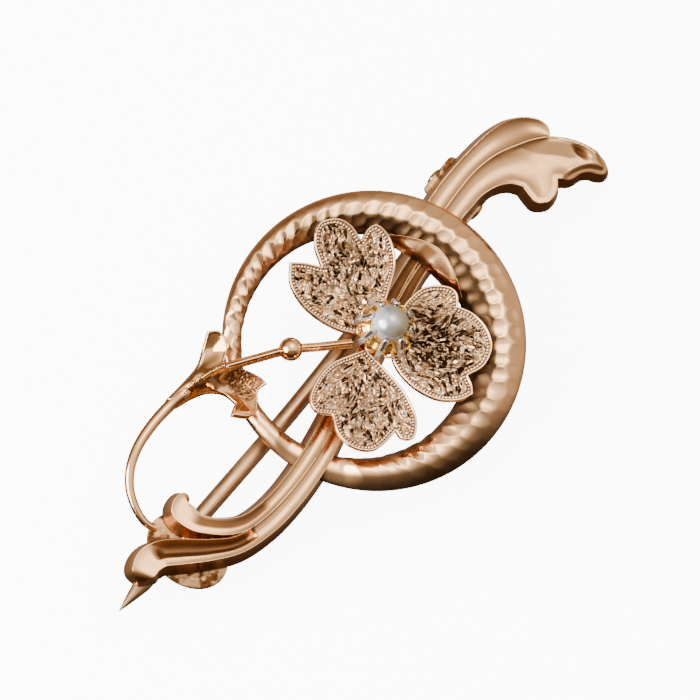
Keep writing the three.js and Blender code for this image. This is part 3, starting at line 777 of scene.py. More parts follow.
LEAF_MIDRIB = [(10.2, 2.65), (12.9, 2.8), (14.4, 2.75), (16, 2.4), (17.5, 1.7), (18.6, 1.05), (19.38, 0.35),
               (19.98, -0.62), (20.45, -1.8), (20.58, -2.8)]
LEAF_HOLLOW = (19.98, -1.88)
LEAF_HOLLOW_ALONG = np.array([0.12, -0.993])
LEAF_HOLLOW_HALF = (0.98, 0.4)
LEAF_UNDER = [(20.75, -3.2), (20.45, -3.9), (19.9, -3.95), (19.35, -3.15), (18.8, -2.75), (18.1, -2.5)]


def in_leaf_hollow(points):
    """0 at the middle of the oval hollow near the tip, 1 on its edge."""
    offset = points - LEAF_HOLLOW
    aside = np.array([LEAF_HOLLOW_ALONG[1], -LEAF_HOLLOW_ALONG[0]])
    return np.hypot(offset @ LEAF_HOLLOW_ALONG / LEAF_HOLLOW_HALF[0], offset @ aside / LEAF_HOLLOW_HALF[1])


def acanthus_leaf():
    """Two long hollows either side of a raised midrib, which runs on along the edge to the tip."""
    outline = closed_outline(LEAF_OUTLINE, LEAF_STEP)
    sides = closed_outline(LEAF_OUTLINE[:-1], LEAF_STEP)
    midrib = spline(LEAF_MIDRIB, 160)
    under = spline(LEAF_UNDER, 60)

    def front(points, depth):
        depth = to_line(points, sides)
        to_rib = to_line(points, midrib)
        share = to_rib / np.maximum(to_rib + depth, 1e-6)
        reach = np.minimum(to_rib + depth, 2.4)
        height = EDGE_Z - 0.02 - (0.04 + 0.13 * reach) * 4 * share * (1 - share)
        height += 0.02 * np.exp(-(to_rib / 0.07) ** 2)
        pit = 0.22 * (1 - smoothstep(0.1, 1.0, in_leaf_hollow(points)))
        rolled = 0.09 * (1 - smoothstep(0.0, 0.5, depth)) ** 2 * smoothstep(1.2, 0.2, points[:, 1])
        curl = 0.32 * (1 - smoothstep(0.15, 0.6, to_line(points, under)))
        return np.maximum(height - pit - rolled - curl, BACK_Z + 0.3)

    def recess(points, depth):
        # painted shade: the upper hollow, the oval pit near the tip and the curled-under tip are darker, and
        # the whole face a little darker
        upper = points[:, 1] > np.interp(points[:, 0], midrib[:130, 0], midrib[:130, 1])
        reach = smoothstep(14.8, 18.5, points[:, 0]) * (1 - smoothstep(18.7, 19.4, points[:, 0]))
        shade = 0.62 * reach * smoothstep(0.05, 0.3, to_line(points, midrib)) * upper
        hollow = 0.97 * (1 - smoothstep(0.4, 0.95, in_leaf_hollow(points)))
        tip = 0.75 * (1 - smoothstep(0.1, 0.34, to_line(points, under)))
        return np.maximum(np.maximum(np.maximum(hollow, tip), shade), 0.13)

    # the walls get painted shade too, through wall_recess
    wall = [(0.06, 0.03), (0.3, 0.1), (0.6, 0.2), (0.95, 0.32), (1.0, 0.26)]
    return relief("acanthus_leaf_gold", outline, front, lambda points: np.full(len(points), BACK_Z), SATIN,
                  LEAF_GRID, wall, recess, wall_recess=0.25)


# ---- clover --------------------------------------------------------------------------------------
PETALS = {
    "petal_top": [
        [(1.9, 1.4), (0.15, 1.7), (-0.75, 3), (-1.15, 5.6), (-0.6, 7.4), (0.5, 8.35)],
        [(0.5, 8.35), (1.2, 7.5), (1.75, 6.55)],
        [(1.75, 6.55), (2.6, 7.9), (3.8, 8.5), (4.9, 7.8), (5.2, 6.8), (4.95, 5.65)],
        [(4.95, 5.65), (5.8, 5.8), (6.4, 5.5), (6.35, 4.3), (5.3, 2.9), (3.7, 2.1), (1.9, 1.4)],
    ],
    "petal_left": [
        [(-0.5, 0.75), (-1.5, 1.3), (-3, 1.95), (-4.8, 1.9), (-5.95, 1.4), (-6.25, 0.6), (-5.7, -0.3)],
        [(-5.7, -0.3), (-6.5, -1.4), (-6.6, -2.8), (-5.9, -3.9), (-4.9, -4.2), (-3.75, -4.25)],
        [(-3.75, -4.25), (-3.9, -4.9), (-3.4, -5.45), (-2.1, -4.8), (-1.1, -3), (-0.75, -1.2), (-0.5, 0.75)],
    ],
    "petal_right": [
        [(1, -0.3), (0, -1.2), (-0.5, -3), (-0.2, -5), (0.7, -6.2), (1.6, -6.65)],
        [(1.6, -6.65), (2.1, -6.2), (2.45, -5.6)],
        [(2.45, -5.6), (3.6, -6), (5, -5.6), (5.8, -4.5), (6, -3.2), (5.75, -2.15)],
        [(5.75, -2.15), (6.35, -1.6), (6.4, -0.9), (5.4, 0.35), (4, 0.7), (2.3, 0.45), (1, -0.3)],
    ],
}
PETAL_SHADE = {"petal_top": 0.2, "petal_left": 0.2, "petal_right": 0.5}     # how dark the painted shade in the middle is
PETAL_STEP = 0.05
PETAL_GRID = 0.038
PETAL_DISH = 0.16
PETAL_Z = 5.3
PETAL_CUP = 0.0155
PETAL_THICKNESS = 0.35
RIM_WIDTH = 0.13
BEAD_LINE = 0.27          # distance of the beaded line from the petal's edge
BEAD_PITCH = 0.22
BEAD_SIZE = 0.09
BEAD_RISE = 0.085
ENGRAVED_FROM = 0.4
CUT_COUNT = 560
CUT_STRETCH = 3.2         # length of an engraver's cut over its width
CUT_TILT = 0.75
CUT_LIMIT = 0.15
HOLE_SHARE = 0.24         # this share of the facets is a pit with painted shade
POINTS_AT_ONCE = 2500


def facets(outline, seed):
    """An engraver's cuts: their middles, directions along and across, slopes, and which are pits, later
    darkened with painted shade.
    """
    chosen = np.random.default_rng(seed)
    tries = chosen.uniform(outline.min(0), outline.max(0), (4000, 2))
    middles = tries[inside(tries, outline)][:CUT_COUNT]
    heading = np.arctan2(middles[:, 1] - FLOWER[1], middles[:, 0] - FLOWER[0])
    heading += chosen.normal(0, 0.55, len(middles)) + 0.6 * np.sin(middles[:, 0] * 1.3 + middles[:, 1] * 1.7)
    along = np.column_stack([np.cos(heading), np.sin(heading)])
    across = np.column_stack([-along[:, 1], along[:, 0]])
    tilt = chosen.normal(0, CUT_TILT, (len(middles), 2)) * (0.45, 1.0)
    return middles, along, across, tilt, chosen.uniform(0, 1, len(middles)) < HOLE_SHARE


def engraving(outline, seed):
    """Bright-cut work: short tilted facets that follow the petal outwards, with painted shade in the gaps
    where they meet and in the pits. Gives a function from points to (height, darkness)."""
    middles, along, across, tilt, holes = facets(outline, seed)

    def cut(points):
        height, dark = np.zeros(len(points)), np.zeros(len(points))
        for start in range(0, len(points), POINTS_AT_ONCE):
            here = slice(start, start + POINTS_AT_ONCE)
            offset = points[here, None, :] - middles[None]
            u = np.einsum("psk,sk->ps", offset, along)
            w = np.einsum("psk,sk->ps", offset, across)
            gap = np.hypot(u / CUT_STRETCH**0.5, w * CUT_STRETCH**0.5)
            order = np.argpartition(gap, 1, axis=1)[:, :2]
            row = np.arange(len(gap))
            first, second = gap[row, order[:, 0]], gap[row, order[:, 1]]
            own = np.where(first <= second, order[:, 0], order[:, 1])
            edge = np.abs(second - first)
            slope = u[row, own] * tilt[own, 0] + w[row, own] * tilt[own, 1]
            seam = 1 - smoothstep(0.01, 0.075, edge)
            hole = holes[own] * smoothstep(0.0, 0.06, edge)
            height[here] = np.clip(slope, -CUT_LIMIT, CUT_LIMIT) - 0.07 * seam - 0.16 * hole
            # painted shade in the seams and pits
            dark[here] = np.maximum(0.62 * seam, hole)
        return height, dark

    return cut


def petal(name, stretches, seed, shade):
    """Cupped sheet: plain bright rim, a line of fine beads, and bright-cut engraving inside it; painted
    shade between the beads, in the engraving and in the middle.
    """
    outline = closed_outline(stretches, PETAL_STEP)
    cut = engraving(outline, seed)
    beads = bead_places(outline)
    middle = outline.mean(axis=0)
    reach = np.linalg.norm(outline - middle, axis=1).max()

    def inner(depth):
        return smoothstep(ENGRAVED_FROM - 0.03, ENGRAVED_FROM + 0.05, depth)

    def front(points, depth):
        base = PETAL_Z + PETAL_THICKNESS + PETAL_CUP * ((points - FLOWER) ** 2).sum(1)
        dish = PETAL_DISH * smoothstep(0.4, 2.0, depth)
        rim = 0.1 * (smoothstep(-0.02, 0.05, depth) - smoothstep(RIM_WIDTH, RIM_WIDTH + 0.05, depth))
        return base - dish - 0.08 + rim + bead_height(points, beads) + (0.07 + cut(points)[0]) * inner(depth)

    def recess(points, depth):
        # painted shade: between the beads, in the engraving's seams and pits, and towards the middle
        line = smoothstep(RIM_WIDTH, RIM_WIDTH + 0.05, depth) * (1 - inner(depth))
        between = np.clip(1 - bead_height(points, beads) / 0.045, 0, 1)
        from_middle = np.linalg.norm(points - middle, axis=1) / reach
        hollow = shade * (1 - smoothstep(0.15, 0.85, from_middle))
        return np.maximum(np.clip(cut(points)[1] + hollow, 0, 1) * inner(depth), 0.95 * line * between)

    def back(points):
        return PETAL_Z - PETAL_DISH + PETAL_CUP * ((points - FLOWER) ** 2).sum(1)

    return relief(name + "_engraved", outline, front, back, ENGRAVED, PETAL_GRID,
                  [(0.4, 0.03), (0.75, 0.0)], recess)


def bead_places(outline):
    """Evenly spaced places on the line that runs inside the outline at the beads' distance."""
    inset = outline - edge_normals(outline) * BEAD_LINE
    inset = inset[to_line(inset, outline, closed=True) > BEAD_LINE * 0.97]
    ring = np.vstack([inset, inset[:1]])
    count = int(line_length(ring) / BEAD_PITCH)
    return resampled(ring, count + 1)[:-1]


def bead_height(points, beads):
    return BEAD_RISE * np.sqrt(bowls(points, beads, BEAD_SIZE))


def bowls(points, middles, radius):
    """1 at the nearest of some middles, falling to 0 at the radius as the square of the distance."""
    level = np.zeros(len(points))
    for middle in middles:
        near = np.abs(points - middle).max(axis=1) < radius
        if near.any():
            reach = np.linalg.norm(points[near] - middle, axis=1) / radius
            level[near] = np.maximum(level[near], 1 - reach**2)
    return level


# ---- pearl and its setting -----------------------------------------------------------------------
PEARL_WOBBLE = 0.006


def pearl():
    """Slightly uneven ball, as a natural pearl is."""
    rows, count = 56, 96
    latitude = np.linspace(-math.pi / 2 + 0.02, math.pi / 2 - 0.02, rows)
    angle = np.linspace(0, 2 * math.pi, count, endpoint=False)
    rings = np.empty((rows, count, 3))
    for k, tilt in enumerate(latitude):
        wobble = 1 - PEARL_WOBBLE + PEARL_WOBBLE * np.sin(3 * angle + 2 * tilt) * math.cos(tilt)
        radius = PEARL_RADIUS * math.cos(tilt) * wobble
        rings[k] = np.column_stack([radius * np.cos(angle), radius * np.sin(angle),
                                    np.full(count, PEARL_RADIUS * math.sin(tilt) * 0.998)]) + PEARL
    return loft("pearl_ball", rings, NACRE)


CLAW_COUNT = 8
CLAW_FOOT = 2.0
SEAT_GAP = 0.04           # between the pearl and the metal that holds it
SCROLL_RADIUS = 0.33
SCROLL_WIRE = 0.1


def pearl_cup():
    """Scalloped gallery: a fluted cup whose foot spreads into small scrolls between the claws."""
    base = CUP_BASE_Z
    seat = [(r, PEARL[2] - math.sqrt((PEARL_RADIUS + SEAT_GAP) ** 2 - r * r))
            for r in (0.8, 0.6, 0.4, 0.2, 0.01)]
    wall = [(0.01, 0), (1.55, 0), (1.66, 0.05), (1.68, 0.12), (1.6, 0.2), (1.3, 0.32), (1.08, 0.5),
            (0.95, 0.72), (0.93, 0.86), (0.88, 0.95)]
    profile = [(r, base + z) for r, z in wall] + seat
    count = 128
    angle = np.linspace(0, 2 * math.pi, count, endpoint=False)
    flute = np.cos(CLAW_COUNT * (angle - math.pi / CLAW_COUNT))
    rings = []
    for r, z in profile:
        wave = r * (1 + 0.05 * flute * smoothstep(0.85, 1.3, r))
        rings.append(np.column_stack([wave * np.cos(angle), wave * np.sin(angle), np.full(count, z)])
                     + np.append(FLOWER, 0))
    pieces = [loft("cup", rings, YELLOW)]
    for k in range(CLAW_COUNT):
        at = 2 * math.pi * k / CLAW_COUNT
        radial = np.array([math.cos(at), math.sin(at), 0.0])
        centre = np.append(FLOWER, base + 0.17) + radial * 1.62
        hoop = np.linspace(0, 2 * math.pi, 28, endpoint=False)
        tangent = np.array([-radial[1], radial[0], 0.0])
        lift = np.array([0, 0, 1.0]) * 0.9 + radial * 0.35
        line = centre + np.outer(np.cos(hoop) * SCROLL_RADIUS, radial)
        line += np.outer(np.sin(hoop) * SCROLL_RADIUS, tangent)
        line[:, 2] += 0.14 * np.cos(hoop)
        pieces.append(ring_of_wire("scroll", line, SCROLL_WIRE, YELLOW, lift))
    return pieces


def ring_of_wire(name, line, radius, material, up, sides=10):
    """A wire bent into a closed hoop."""
    ahead = unit(np.roll(line, -1, axis=0) - np.roll(line, 1, axis=0))
    across = unit(np.cross(ahead, up))
    over = np.cross(across, ahead)
    pairs = circle(radius, sides)[None]
    rings = line[:, None, :] + pairs[..., :1] * across[:, None, :] + pairs[..., 1:] * over[:, None, :]
    return loft(name, rings, material, closed_rows=True)


def claw(number):
    """A tapered prong that leans in from the cup's foot and ends in a flattened tip on the pearl."""
    angle = 2 * math.pi * (number - 0.5) / CLAW_COUNT
    radial = np.array([math.cos(angle), math.sin(angle), 0.0])
    reach = PEARL_RADIUS + SEAT_GAP + 0.13

    def on_pearl(rise):
        return math.sqrt(reach**2 - rise**2)

    base = CUP_BASE_Z
    route = [(CLAW_FOOT, base + 0.15), (1.86, 6.8), (1.62, 7.4), (on_pearl(0.1) + 0.02, PEARL[2] + 0.1),
             (on_pearl(0.6), PEARL[2] + 0.6)]
    line = spline([np.append(FLOWER, 0) + radial * r + (0, 0, z) for r, z in route], 40)
    across = (-radial[1], radial[0], 0.0)

    def section(u):
        wide = 0.2 - 0.02 * u + 0.03 * smoothstep(0.5, 0.85, u)
        end = math.sqrt(max(1 - max(0.0, (u - 0.88) / 0.12) ** 2, 0.01))
        ring = circle(1, 24)
        squared = np.sign(ring) * np.abs(ring) ** 0.6
        return squared * (wide * end, 0.15 * end)

    # painted shade on the middle of the claw's faces on its upper part, and at its foot
    claw_shade = []
    for u in np.linspace(0, 1, len(line)):
        sideways = np.abs(section(u)[:, 0])
        face = 0.97 * smoothstep(0.42, 0.5, u) * (sideways < 0.6 * sideways.max())
        foot = 0.6 * (1 - smoothstep(0.1, 0.35, u))
        claw_shade.append(np.maximum(face, foot))
    return loft(f"claw_{number}_prong", sweep(line, section, side=across), PALE,
                recess=np.concatenate(claw_shade))


# ---- stem, bead, lily and tail -------------------------------------------------------------------
STEM_ROUTE = [(-7.55, 7.1, 5.65), (-5.7, 5.85, 5.8), (-3.92, 4.6, 5.9), (-2.5, 3.2, 6.05),
              (-0.95, 1.72, 6.2)]
STEM_HALF = 0.31


KNIFE_BASE = [(-1, -0.6), (-0.6, -0.75), (0.6, -0.75), (1, -0.6)]
KNIFE_FLANK = [(1, -0.25), (0.78, 0.1), (0.66, 0.08), (0.52, 0.42), (0.14, 0.98)]


def stem_wire():
    """Half-round wire dressed to a bright edge, with a fine line filed along each flank."""
    section = STEM_HALF * np.array(KNIFE_BASE + KNIFE_FLANK + [(-s, z) for s, z in reversed(KNIFE_FLANK)])
    return loft("stem_knife_wire", sweep(spline(STEM_ROUTE, 120), lambda u: section), POLISHED)


def stem_bead():
    low, high, _ = drawn("stem_bead")
    radius = (high[2] - low[2]) / 2
    tilt = np.linspace(-1.565, 1.565, 40)
    rows = [(max(radius * math.cos(t), 0.004), radius * math.sin(t)) for t in tilt]
    return turned("stem_bead_ball", rows, BEAD, (0, 0, 1), POLISHED, 64)


LILY_OUTLINE = [
    [(-11.8, 7.93), (-10.5, 7.5), (-9.5, 6.9), (-8.95, 6), (-9, 5.1)],
    [(-9, 5.1), (-9.6, 4.95), (-10.05, 4.8)],
    [(-10.05, 4.8), (-9.35, 3.9), (-8.6, 3.7), (-7.9, 4.1)],
    [(-7.9, 4.1), (-7.3, 4.5), (-6.7, 4.35)],
    [(-6.7, 4.35), (-6.6, 5), (-6.95, 6.3), (-7.75, 7.3)],
    [(-7.75, 7.3), (-6.5, 8), (-6.1, 9), (-6.6, 9.6)],
    [(-6.6, 9.6), (-7.7, 9.05), (-8.6, 8.7), (-9.8, 8.66), (-11.8, 8.8)],
    [(-11.8, 8.8), (-11.8, 8.35), (-11.8, 7.93)],
]
LILY_HEIGHTS = [
    (-11.8, 8.35, 4.92), (-10, 8.15, 5.3), (-8.8, 7.75, 5.65), (-7.8, 7.4, 5.75),
    (-9.8, 8.6, 5.1), (-8.5, 8.65, 5.1), (-7.7, 9, 5.1), (-7.3, 8.4, 5.3), (-6.6, 9.6, 5.8),
    (-6.1, 9, 5.9), (-6.5, 8.1, 5.8), (-10.2, 7.6, 4.75), (-9.3, 6.9, 4.7), (-9, 5.8, 4.8),
    (-8.3, 6.5, 4.9), (-7.6, 6.2, 4.8), (-6.9, 6.2, 5.3), (-6.65, 5, 5.4), (-6.7, 4.4, 5.6),
    (-7.6, 5.2, 4.7), (-8.3, 4.7, 4.95), (-8.7, 3.8, 5.4), (-9.4, 4.1, 5.5), (-10, 4.8, 5.7),
]
LILY_RIDGE = [(-11.9, 8.3), (-10.4, 8.15), (-9.2, 7.9), (-8.4, 7.6), (-7.8, 7.35)]
LILY_THICKNESS = 0.4
LILY_STEP = 0.07
LILY_GRID = 0.055
LILY_SAND = ((-9, 4.2), (-6.6, 7.2))    # the patch of the bell's inside that is sand-textured
SAND_GRAINS = 900
SAND_SIZE = 0.075
GRANULE_SIZE = 0.115


def lily():
    """Flared bell seen from its side: smooth outside, sand-textured inside, and granules along its ridge;
    painted shade inside the bell, in the sand pits and between the granules.
    """
    outline = closed_outline(LILY_OUTLINE, LILY_STEP)
    shape = surface_through(LILY_HEIGHTS)
    ridge = spline(LILY_RIDGE, 80)
    chosen = np.random.default_rng(5)
    grains = [p + chosen.normal(0, 0.025, 2) for p in resampled(ridge, 20)[5:]]
    sand = chosen.uniform(*LILY_SAND, (SAND_GRAINS, 2))

    def inner(points):
        x, y = points[:, 0], points[:, 1]
        return smoothstep(-8.6, -8.1, x) * smoothstep(4.35, 4.75, y) * (1 - smoothstep(6.7, 7.1, y))

    def granules(points):
        return 0.13 * np.sqrt(bowls(points, grains, GRANULE_SIZE))

    def pits(points):
        return bowls(points, sand, SAND_SIZE) * inner(points)

    def front(points, depth):
        crest = 0.16 * np.exp(-(to_line(points, ridge) / 0.2) ** 2)
        neck = 1 - smoothstep(-9.5, -8.5, points[:, 0])
        round_over = 0.34 * np.sqrt(1 - (1 - np.clip(depth / 0.55, 0, 1)) ** 2) * neck
        rim = 0.08 * np.exp(-((depth - 0.09) / 0.06) ** 2) * (1 - neck)
        plain_form = shape(points) + crest * (1 - neck) + round_over + rim
        return plain_form + granules(points) - 0.08 * pits(points)

    def recess(points, depth):
        # painted shade inside the bell, in the sand pits and between the granules
        to_ridge, place = distance_to(points, ridge)
        row = (1 - smoothstep(0.1, 0.2, to_ridge)) * smoothstep(1.0, 1.4, place) * (granules(points) < 0.05)
        return np.clip(np.maximum(0.5 * pits(points) + 0.6 * inner(points), 0.9 * row), 0, 1)

    def back(points):
        return shape(points) - LILY_THICKNESS

    return relief("lily_bell", outline, front, back, POLISHED, LILY_GRID,
                  [(0.3, 0.03), (0.7, 0.03), (1.0, 0.0)], recess)


TAIL_ROUTE = [(-18.75, 3.8, 3.6), (-18.95, 4.7, 3.9), (-18.65, 5.8, 4.15), (-17.95, 6.9, 4.4),
              (-16.85, 7.75, 4.6), (-15.5, 8.25, 4.75), (-13.8, 8.45, 4.8), (-11.9, 8.37, 4.8),
              (-10.6, 8.15, 5.0), (-9.6, 7.95, 5.12)]


def lily_tail():
    """Wire that thickens towards the lily and ends inside it."""
    def section(u):
        return circle(0.26 + 0.19 * u - 0.25 * smoothstep(0.88, 1.0, u), 20)

    return loft("lily_tail_wire", sweep(spline(TAIL_ROUTE, 170), section), POLISHED)


# ---- pin, hinge and catch ------------------------------------------------------------------------
PIN_ROUTE = [(12.2, 2.8), (6, 2.42), (0, 2.05), (-6, 1.93), (-15, 2.08), (-24.1, 2.22)]
PIN_RADIUS = 0.6
RIVET_RADIUS = 0.4
RIVET_GAP = 0.05


def pin_stem():
    """Round wire, drawn with fine length lines, with a long ground point."""
    line = spline([(x, y, PIN_Z) for x, y in PIN_ROUTE], 200)
    angle = np.linspace(0, 2 * math.pi, 40, endpoint=False)
    groove = 1 - 0.012 * (np.sin(9 * angle) > 0.6) - 0.01 * (np.sin(5 * angle + 1) > 0.8)

    def section(u):
        taper = 1 - 0.96 * max(0.0, (u - 0.93) / 0.07) ** 1.15
        radius = PIN_RADIUS * taper * groove
        return np.column_stack([radius * np.cos(angle), radius * np.sin(angle)])

    return loft("pin_stem_wire", sweep(line, section), DRAWN)


def tube(name, radius, bore, low, high, material):
    """A short barrel along Y with softened mouths."""
    soft = 0.07
    middle = (low + high) / 2
    half = (high - low) / 2
    profile = [(bore, -half + soft), (bore + soft, -half), (radius - soft, -half), (radius, -half + soft),
               (radius, half - soft), (radius - soft, half), (bore + soft, half), (bore, half - soft),
               (bore, -half + soft)]
    piece = turned(name, profile, (HINGE_X, middle, PIN_Z), (0, 1, 0), material, 72)
    sharpen(piece, 35)
    return piece


def outer_knuckle(node, name):
    """Round below and square above, where it is soldered down."""
    low, high, _ = drawn(node)
    radius = (high[0] - low[0]) / 2
    top = high[2] - PIN_Z
    arc = [(radius * math.cos(a), radius * math.sin(a)) for a in np.linspace(math.pi, 2 * math.pi, 40)]
    outline = [(-radius, top)] + arc + [(radius, top)]
    bore = circle(RIVET_RADIUS + RIVET_GAP, 48)

    def place(points):
        return np.column_stack([points[:, 0] + HINGE_X, points[:, 2], points[:, 1] + PIN_Z])

    return cut_sheet(name, [outline, bore], low[1], high[1], POLISHED, place)


def hinge_rivet():
    """Plain wire with its two ends hammered over into low domes."""
    low, high, middle = drawn("hinge_rivet")
    end = (high[1] - low[1]) / 2
    head, rise = (high[0] - low[0]) / 2, 0.18
    dome = [(head * math.cos(a), end - rise + rise * math.sin(a))
            for a in np.linspace(0, math.pi / 2 - 0.03, 12)]
    top = [(RIVET_RADIUS, end - rise - 0.01)] + dome
    profile = [(r, -h) for r, h in reversed(top)] + top
    piece = turned("hinge_rivet_wire", profile, (HINGE_X, middle[1], PIN_Z), (0, 1, 0), POLISHED, 48)
    sharpen(piece, 40)
    return piece


def mount_plate(node, name, corner=None):
    """Flat plate with a softened edge: an oval, or an oblong with rounded corners."""
    low, high, middle = drawn(node)
    half = (high - low)[:2] / 2
    if corner is None:
        outline, soft = circle(1, 72) * half, 0.12
    else:
        outline, soft = [], 0.09
        for turn, side in enumerate(((1, -1), (1, 1), (-1, 1), (-1, -1))):
            for a in np.linspace(turn - 1, turn, 16) * math.pi / 2:
                outline.append((half - corner) * side + corner * np.array([math.cos(a), math.sin(a)]))
    outline = np.array(outline) + middle[:2]
    return cut_sheet(name, [outline], low[2], high[2], MELTED, lambda points: points, soft)


HOOK_INNER = 0.66
HOOK_THICKNESS = 0.44
HOOK_CORNER = 0.55


def catch_hook():
    """Strip bent into a C round the pin, thinner at its lip, with a flat foot."""
    low, high, _ = drawn("catch_hook")
    outer = HOOK_INNER + HOOK_THICKNESS
    bend = outer - HOOK_CORNER
    pin_y = low[1] + outer
    top = high[2] - PIN_Z

    def arc(x, y, radius, start, end, count):
        return [(x + radius * math.cos(a), y + radius * math.sin(a)) for a in np.linspace(start, end, count)]

    outline = [(0.5, top), (-outer, top)]
    outline += arc(-bend, -bend, HOOK_CORNER, math.pi, 1.5 * math.pi, 14)
    outline += arc(bend, -bend, HOOK_CORNER, 1.5 * math.pi, 1.9 * math.pi, 12)
    outline += [(1.02, -0.4), (HOOK_INNER + 0.24, -0.1)]
    outline += arc(0, 0, HOOK_INNER, -0.15, -1.5 * math.pi, 46)
    outline += [(0.25, HOOK_INNER), (0.5, HOOK_INNER)]

    def place(points):
        return np.column_stack([points[:, 2], points[:, 0] + pin_y, points[:, 1] + PIN_Z])

    return cut_sheet("catch_hook_strip", [outline], low[0], high[0], POLISHED, place)


def petal_hub():
    """The soldered post under the petals."""
    low, high, middle = drawn("petal_hub")
    radius, half = (high[0] - low[0]) / 2, (high[2] - low[2]) / 2
    soft = min(0.1, half * 0.4)
    profile = [(0.01, -half), (radius - soft, -half), (radius, soft - half), (radius, half - soft),
               (radius - soft, half), (0.01, half)]
    piece = turned("petal_hub_post", profile, middle, (0, 0, 1), POLISHED, 56)
    sharpen(piece, 35)
    return piece


# how much darker the cut sheets are, all over
SHEET_DARKENING = 0.45


def cut_sheet(name, rings, low, high, material, place, soft=0.06):
    """Sheet cut to closed outlines (the first is the edge, the rest are holes), with softened edges. rings
    are in the sheet's own plane, low and high along its normal, and place() sets points in the drawing."""
    half = (high - low) / 2
    layers = [(-half, -soft), (-half + soft * 0.3, -soft * 0.3), (-half + soft, 0.0), (half - soft, 0.0),
              (half - soft * 0.3, -soft * 0.3), (half, -soft)]
    flat, edges, start = [], [], 0
    for number, ring in enumerate(rings):
        ring = np.asarray(ring, float)
        if (signed_area(ring) > 0) == (number > 0):
            ring = ring[::-1]
        flat.append(ring)
        edges += [(start + k, start + (k + 1) % len(ring)) for k in range(len(ring))]
        start += len(ring)

    def moved(shift):
        """The outlines moved outwards, with the holes growing smaller."""
        return np.vstack([ring + edge_normals(ring) * (shift if number == 0 else -shift)
                          for number, ring in enumerate(flat)])

    triangles = triangulated(moved(-soft), edges, 1 if len(rings) == 1 else 2)
    points, count = [], start
    for height, shift in layers:
        points.append(np.column_stack([moved(shift), np.full(count, height + (low + high) / 2)]))
    faces = [tuple(reversed(t)) for t in triangles]
    top = (len(layers) - 1) * count
    faces += [tuple(v + top for v in t) for t in triangles]
    for row in range(0, top, count):
        faces += [(row + a, row + b, row + count + b, row + count + a) for a, b in edges]
    piece = make_object(name, place(np.vstack(points)), faces, material,
                        np.full(count * len(layers), SHEET_DARKENING))
    sharpen(piece, 40)
    return piece


# ---- assembly ------------------------------------------------------------------------------------
def ready(piece, node, body="brooch_body"):
    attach(piece, body)
    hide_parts(node)


ready(crescent_ring(), "crescent_ring")
ready(scroll_bar(), "scroll_bar")
ready(bar_collar(), "scroll_bar")
ready(acanthus_leaf(), "acanthus_leaf")
for seed, (node, stretches) in enumerate(PETALS.items()):
    ready(petal(node, stretches, seed + 3, PETAL_SHADE[node]), node)
ready(petal_hub(), "petal_hub")
ready(pearl(), "pearl")
ready(joined("pearl_cup_scalloped", pearl_cup()), "pearl_cup")
for number in range(1, CLAW_COUNT + 1):
    ready(claw(number), f"claw_{number}")
ready(stem_wire(), "stem_wire")
ready(stem_bead(), "stem_bead")
ready(lily(), "lily")
ready(lily_tail(), "lily_tail")
ready(pin_stem(), "pin_stem", "pin")
low, high, _ = drawn("pin_knuckle")
barrel = tube("pin_knuckle_barrel", (high[0] - low[0]) / 2, RIVET_RADIUS + RIVET_GAP,
              low[1], high[1], POLISHED)
ready(barrel, "pin_knuckle", "pin")
for node in ("hinge_knuckle_upper", "hinge_knuckle_lower"):
    ready(outer_knuckle(node, node + "_block"), node)
ready(hinge_rivet(), "hinge_rivet")
ready(mount_plate("hinge_plate", "hinge_plate_sheet", corner=0.4), "hinge_plate")
ready(mount_plate("catch_plate", "catch_plate_sheet"), "catch_plate")
ready(catch_hook(), "catch_hook")


# ---- floor, light and camera ---------------------------------------------------------------------
FLOOR_SIZE = 4
FLOOR_Z = -0.0006
FLOOR_GLOW = 9.0


def floor():
    """A plain white sheet under the brooch, which the metal doesn't reflect."""
    mesh = bpy.data.meshes.new("floor")
    corners = [(x * FLOOR_SIZE, y * FLOOR_SIZE, 0) for x, y in ((-1, -1), (1, -1), (1, 1), (-1, 1))]
    mesh.from_pydata(corners, [], [(0, 1, 2, 3)])
    material, tree, shader = new_material("floor_white")
    shader.inputs["Base Color"].default_value = (0.95, 0.95, 0.95, 1)
    shader.inputs["Roughness"].default_value = 0.9
    shader.inputs["Emission Color"].default_value = (1, 1, 1, 1)
    shader.inputs["Emission Strength"].default_value = FLOOR_GLOW
    mesh.materials.append(material)
    piece = bpy.data.objects.new("floor", mesh)
    bpy.context.scene.collection.objects.link(piece)
    piece.location = (0, 0, FLOOR_Z)
    piece.visible_glossy = False
    piece.visible_diffuse = False


DOME_STRENGTH = 1.9
DOME = [(0.0, (0.34, 0.24, 0.16)), (0.42, (0.11, 0.07, 0.042)), (0.58, (0.13, 0.085, 0.05)),
        (0.74, (0.55, 0.49, 0.42)), (0.88, (1.0, 1.0, 1.0))]     # from straight down to straight up
DARK_SIDE = (-0.74, -0.64, -0.2)      # the room is darker this way
DARK_RAMP = [(0.02, (1.0, 1.0, 1.0)), (0.32, (0.2, 0.155, 0.12))]
LIGHT_SIDE = (0.9, -0.35, 0.25)       # and lighter this way
LIGHT_RAMP = [(0.3, (0.0, 0.0, 0.0)), (0.8, (0.46, 0.4, 0.34))]


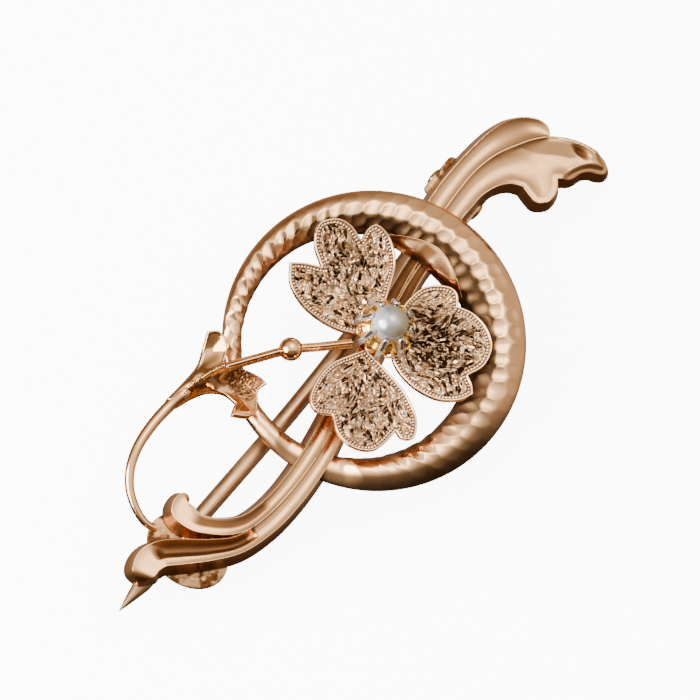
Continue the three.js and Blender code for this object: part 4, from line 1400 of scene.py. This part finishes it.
def surroundings():
    """Bright dome over a deep brown band at the horizon, so that steep faces reflect dark."""
    world = bpy.data.worlds.new("studio")
    world.use_nodes = True
    bpy.context.scene.world = world
    tree = world.node_tree
    view = add_node(tree, "ShaderNodeTexCoord").outputs["Generated"]
    upward = add_node(tree, "ShaderNodeSeparateXYZ", Vector=view).outputs["Z"]
    height = ramp(tree, arithmetic(tree, "MULTIPLY_ADD", upward, 0.5, 0.5), DOME)
    shade = ramp(tree, facing(tree, view, DARK_SIDE), DARK_RAMP)
    glow = ramp(tree, facing(tree, view, LIGHT_SIDE), LIGHT_RAMP)
    colour = mixed(tree, 1.0, mixed(tree, 1.0, height, shade, "MULTIPLY"), glow, "LIGHTEN")
    background = tree.nodes["Background"]
    feed(tree, background.inputs["Color"], colour)
    feed(tree, background.inputs["Strength"], DOME_STRENGTH)


def soft_light(name, place, size, power):
    light = bpy.data.lights.new(name, "AREA")
    light.shape = "DISK"
    light.size = size
    light.energy = power
    lamp = bpy.data.objects.new(name, light)
    bpy.context.scene.collection.objects.link(lamp)
    lamp.location = place
    lamp.rotation_euler = (-Vector(place)).to_track_quat("-Z", "Y").to_euler()


CAMERA_TARGET = Vector((0.00095, 0.000856, 0.0035))
CAMERA_LEAN = math.radians(15.5)
CAMERA_ROLL = math.radians(50.2)
CAMERA_LENS = 1000
CAMERA_WIDTH = 0.04667
SENSOR = 36


def camera():
    lens = bpy.data.cameras.new("camera")
    lens.lens = CAMERA_LENS
    lens.sensor_width = SENSOR
    lens.clip_start = 0.005
    eye = bpy.data.objects.new("camera", lens)
    bpy.context.scene.collection.objects.link(eye)
    back = Vector((-math.sin(CAMERA_LEAN), 0, math.cos(CAMERA_LEAN)))
    sideways = Vector((math.cos(CAMERA_LEAN), 0, math.sin(CAMERA_LEAN)))
    right = sideways * math.cos(CAMERA_ROLL) - Vector((0, 1, 0)) * math.sin(CAMERA_ROLL)
    up = back.cross(right)
    distance = CAMERA_WIDTH * CAMERA_LENS / SENSOR
    turn = Matrix((right, up, back)).transposed().to_4x4()
    eye.matrix_world = Matrix.Translation(CAMERA_TARGET + back * distance) @ turn
    bpy.context.scene.camera = eye


floor()
surroundings()
soft_light("key", (-0.345, 0.25, 0.245), 0.4, 6.0)
soft_light("fill", (0.2, 0.1, 0.6), 0.4, 2.0)
soft_light("side", (-0.33, 0.42, 0.17), 0.16, 1.6)
camera()
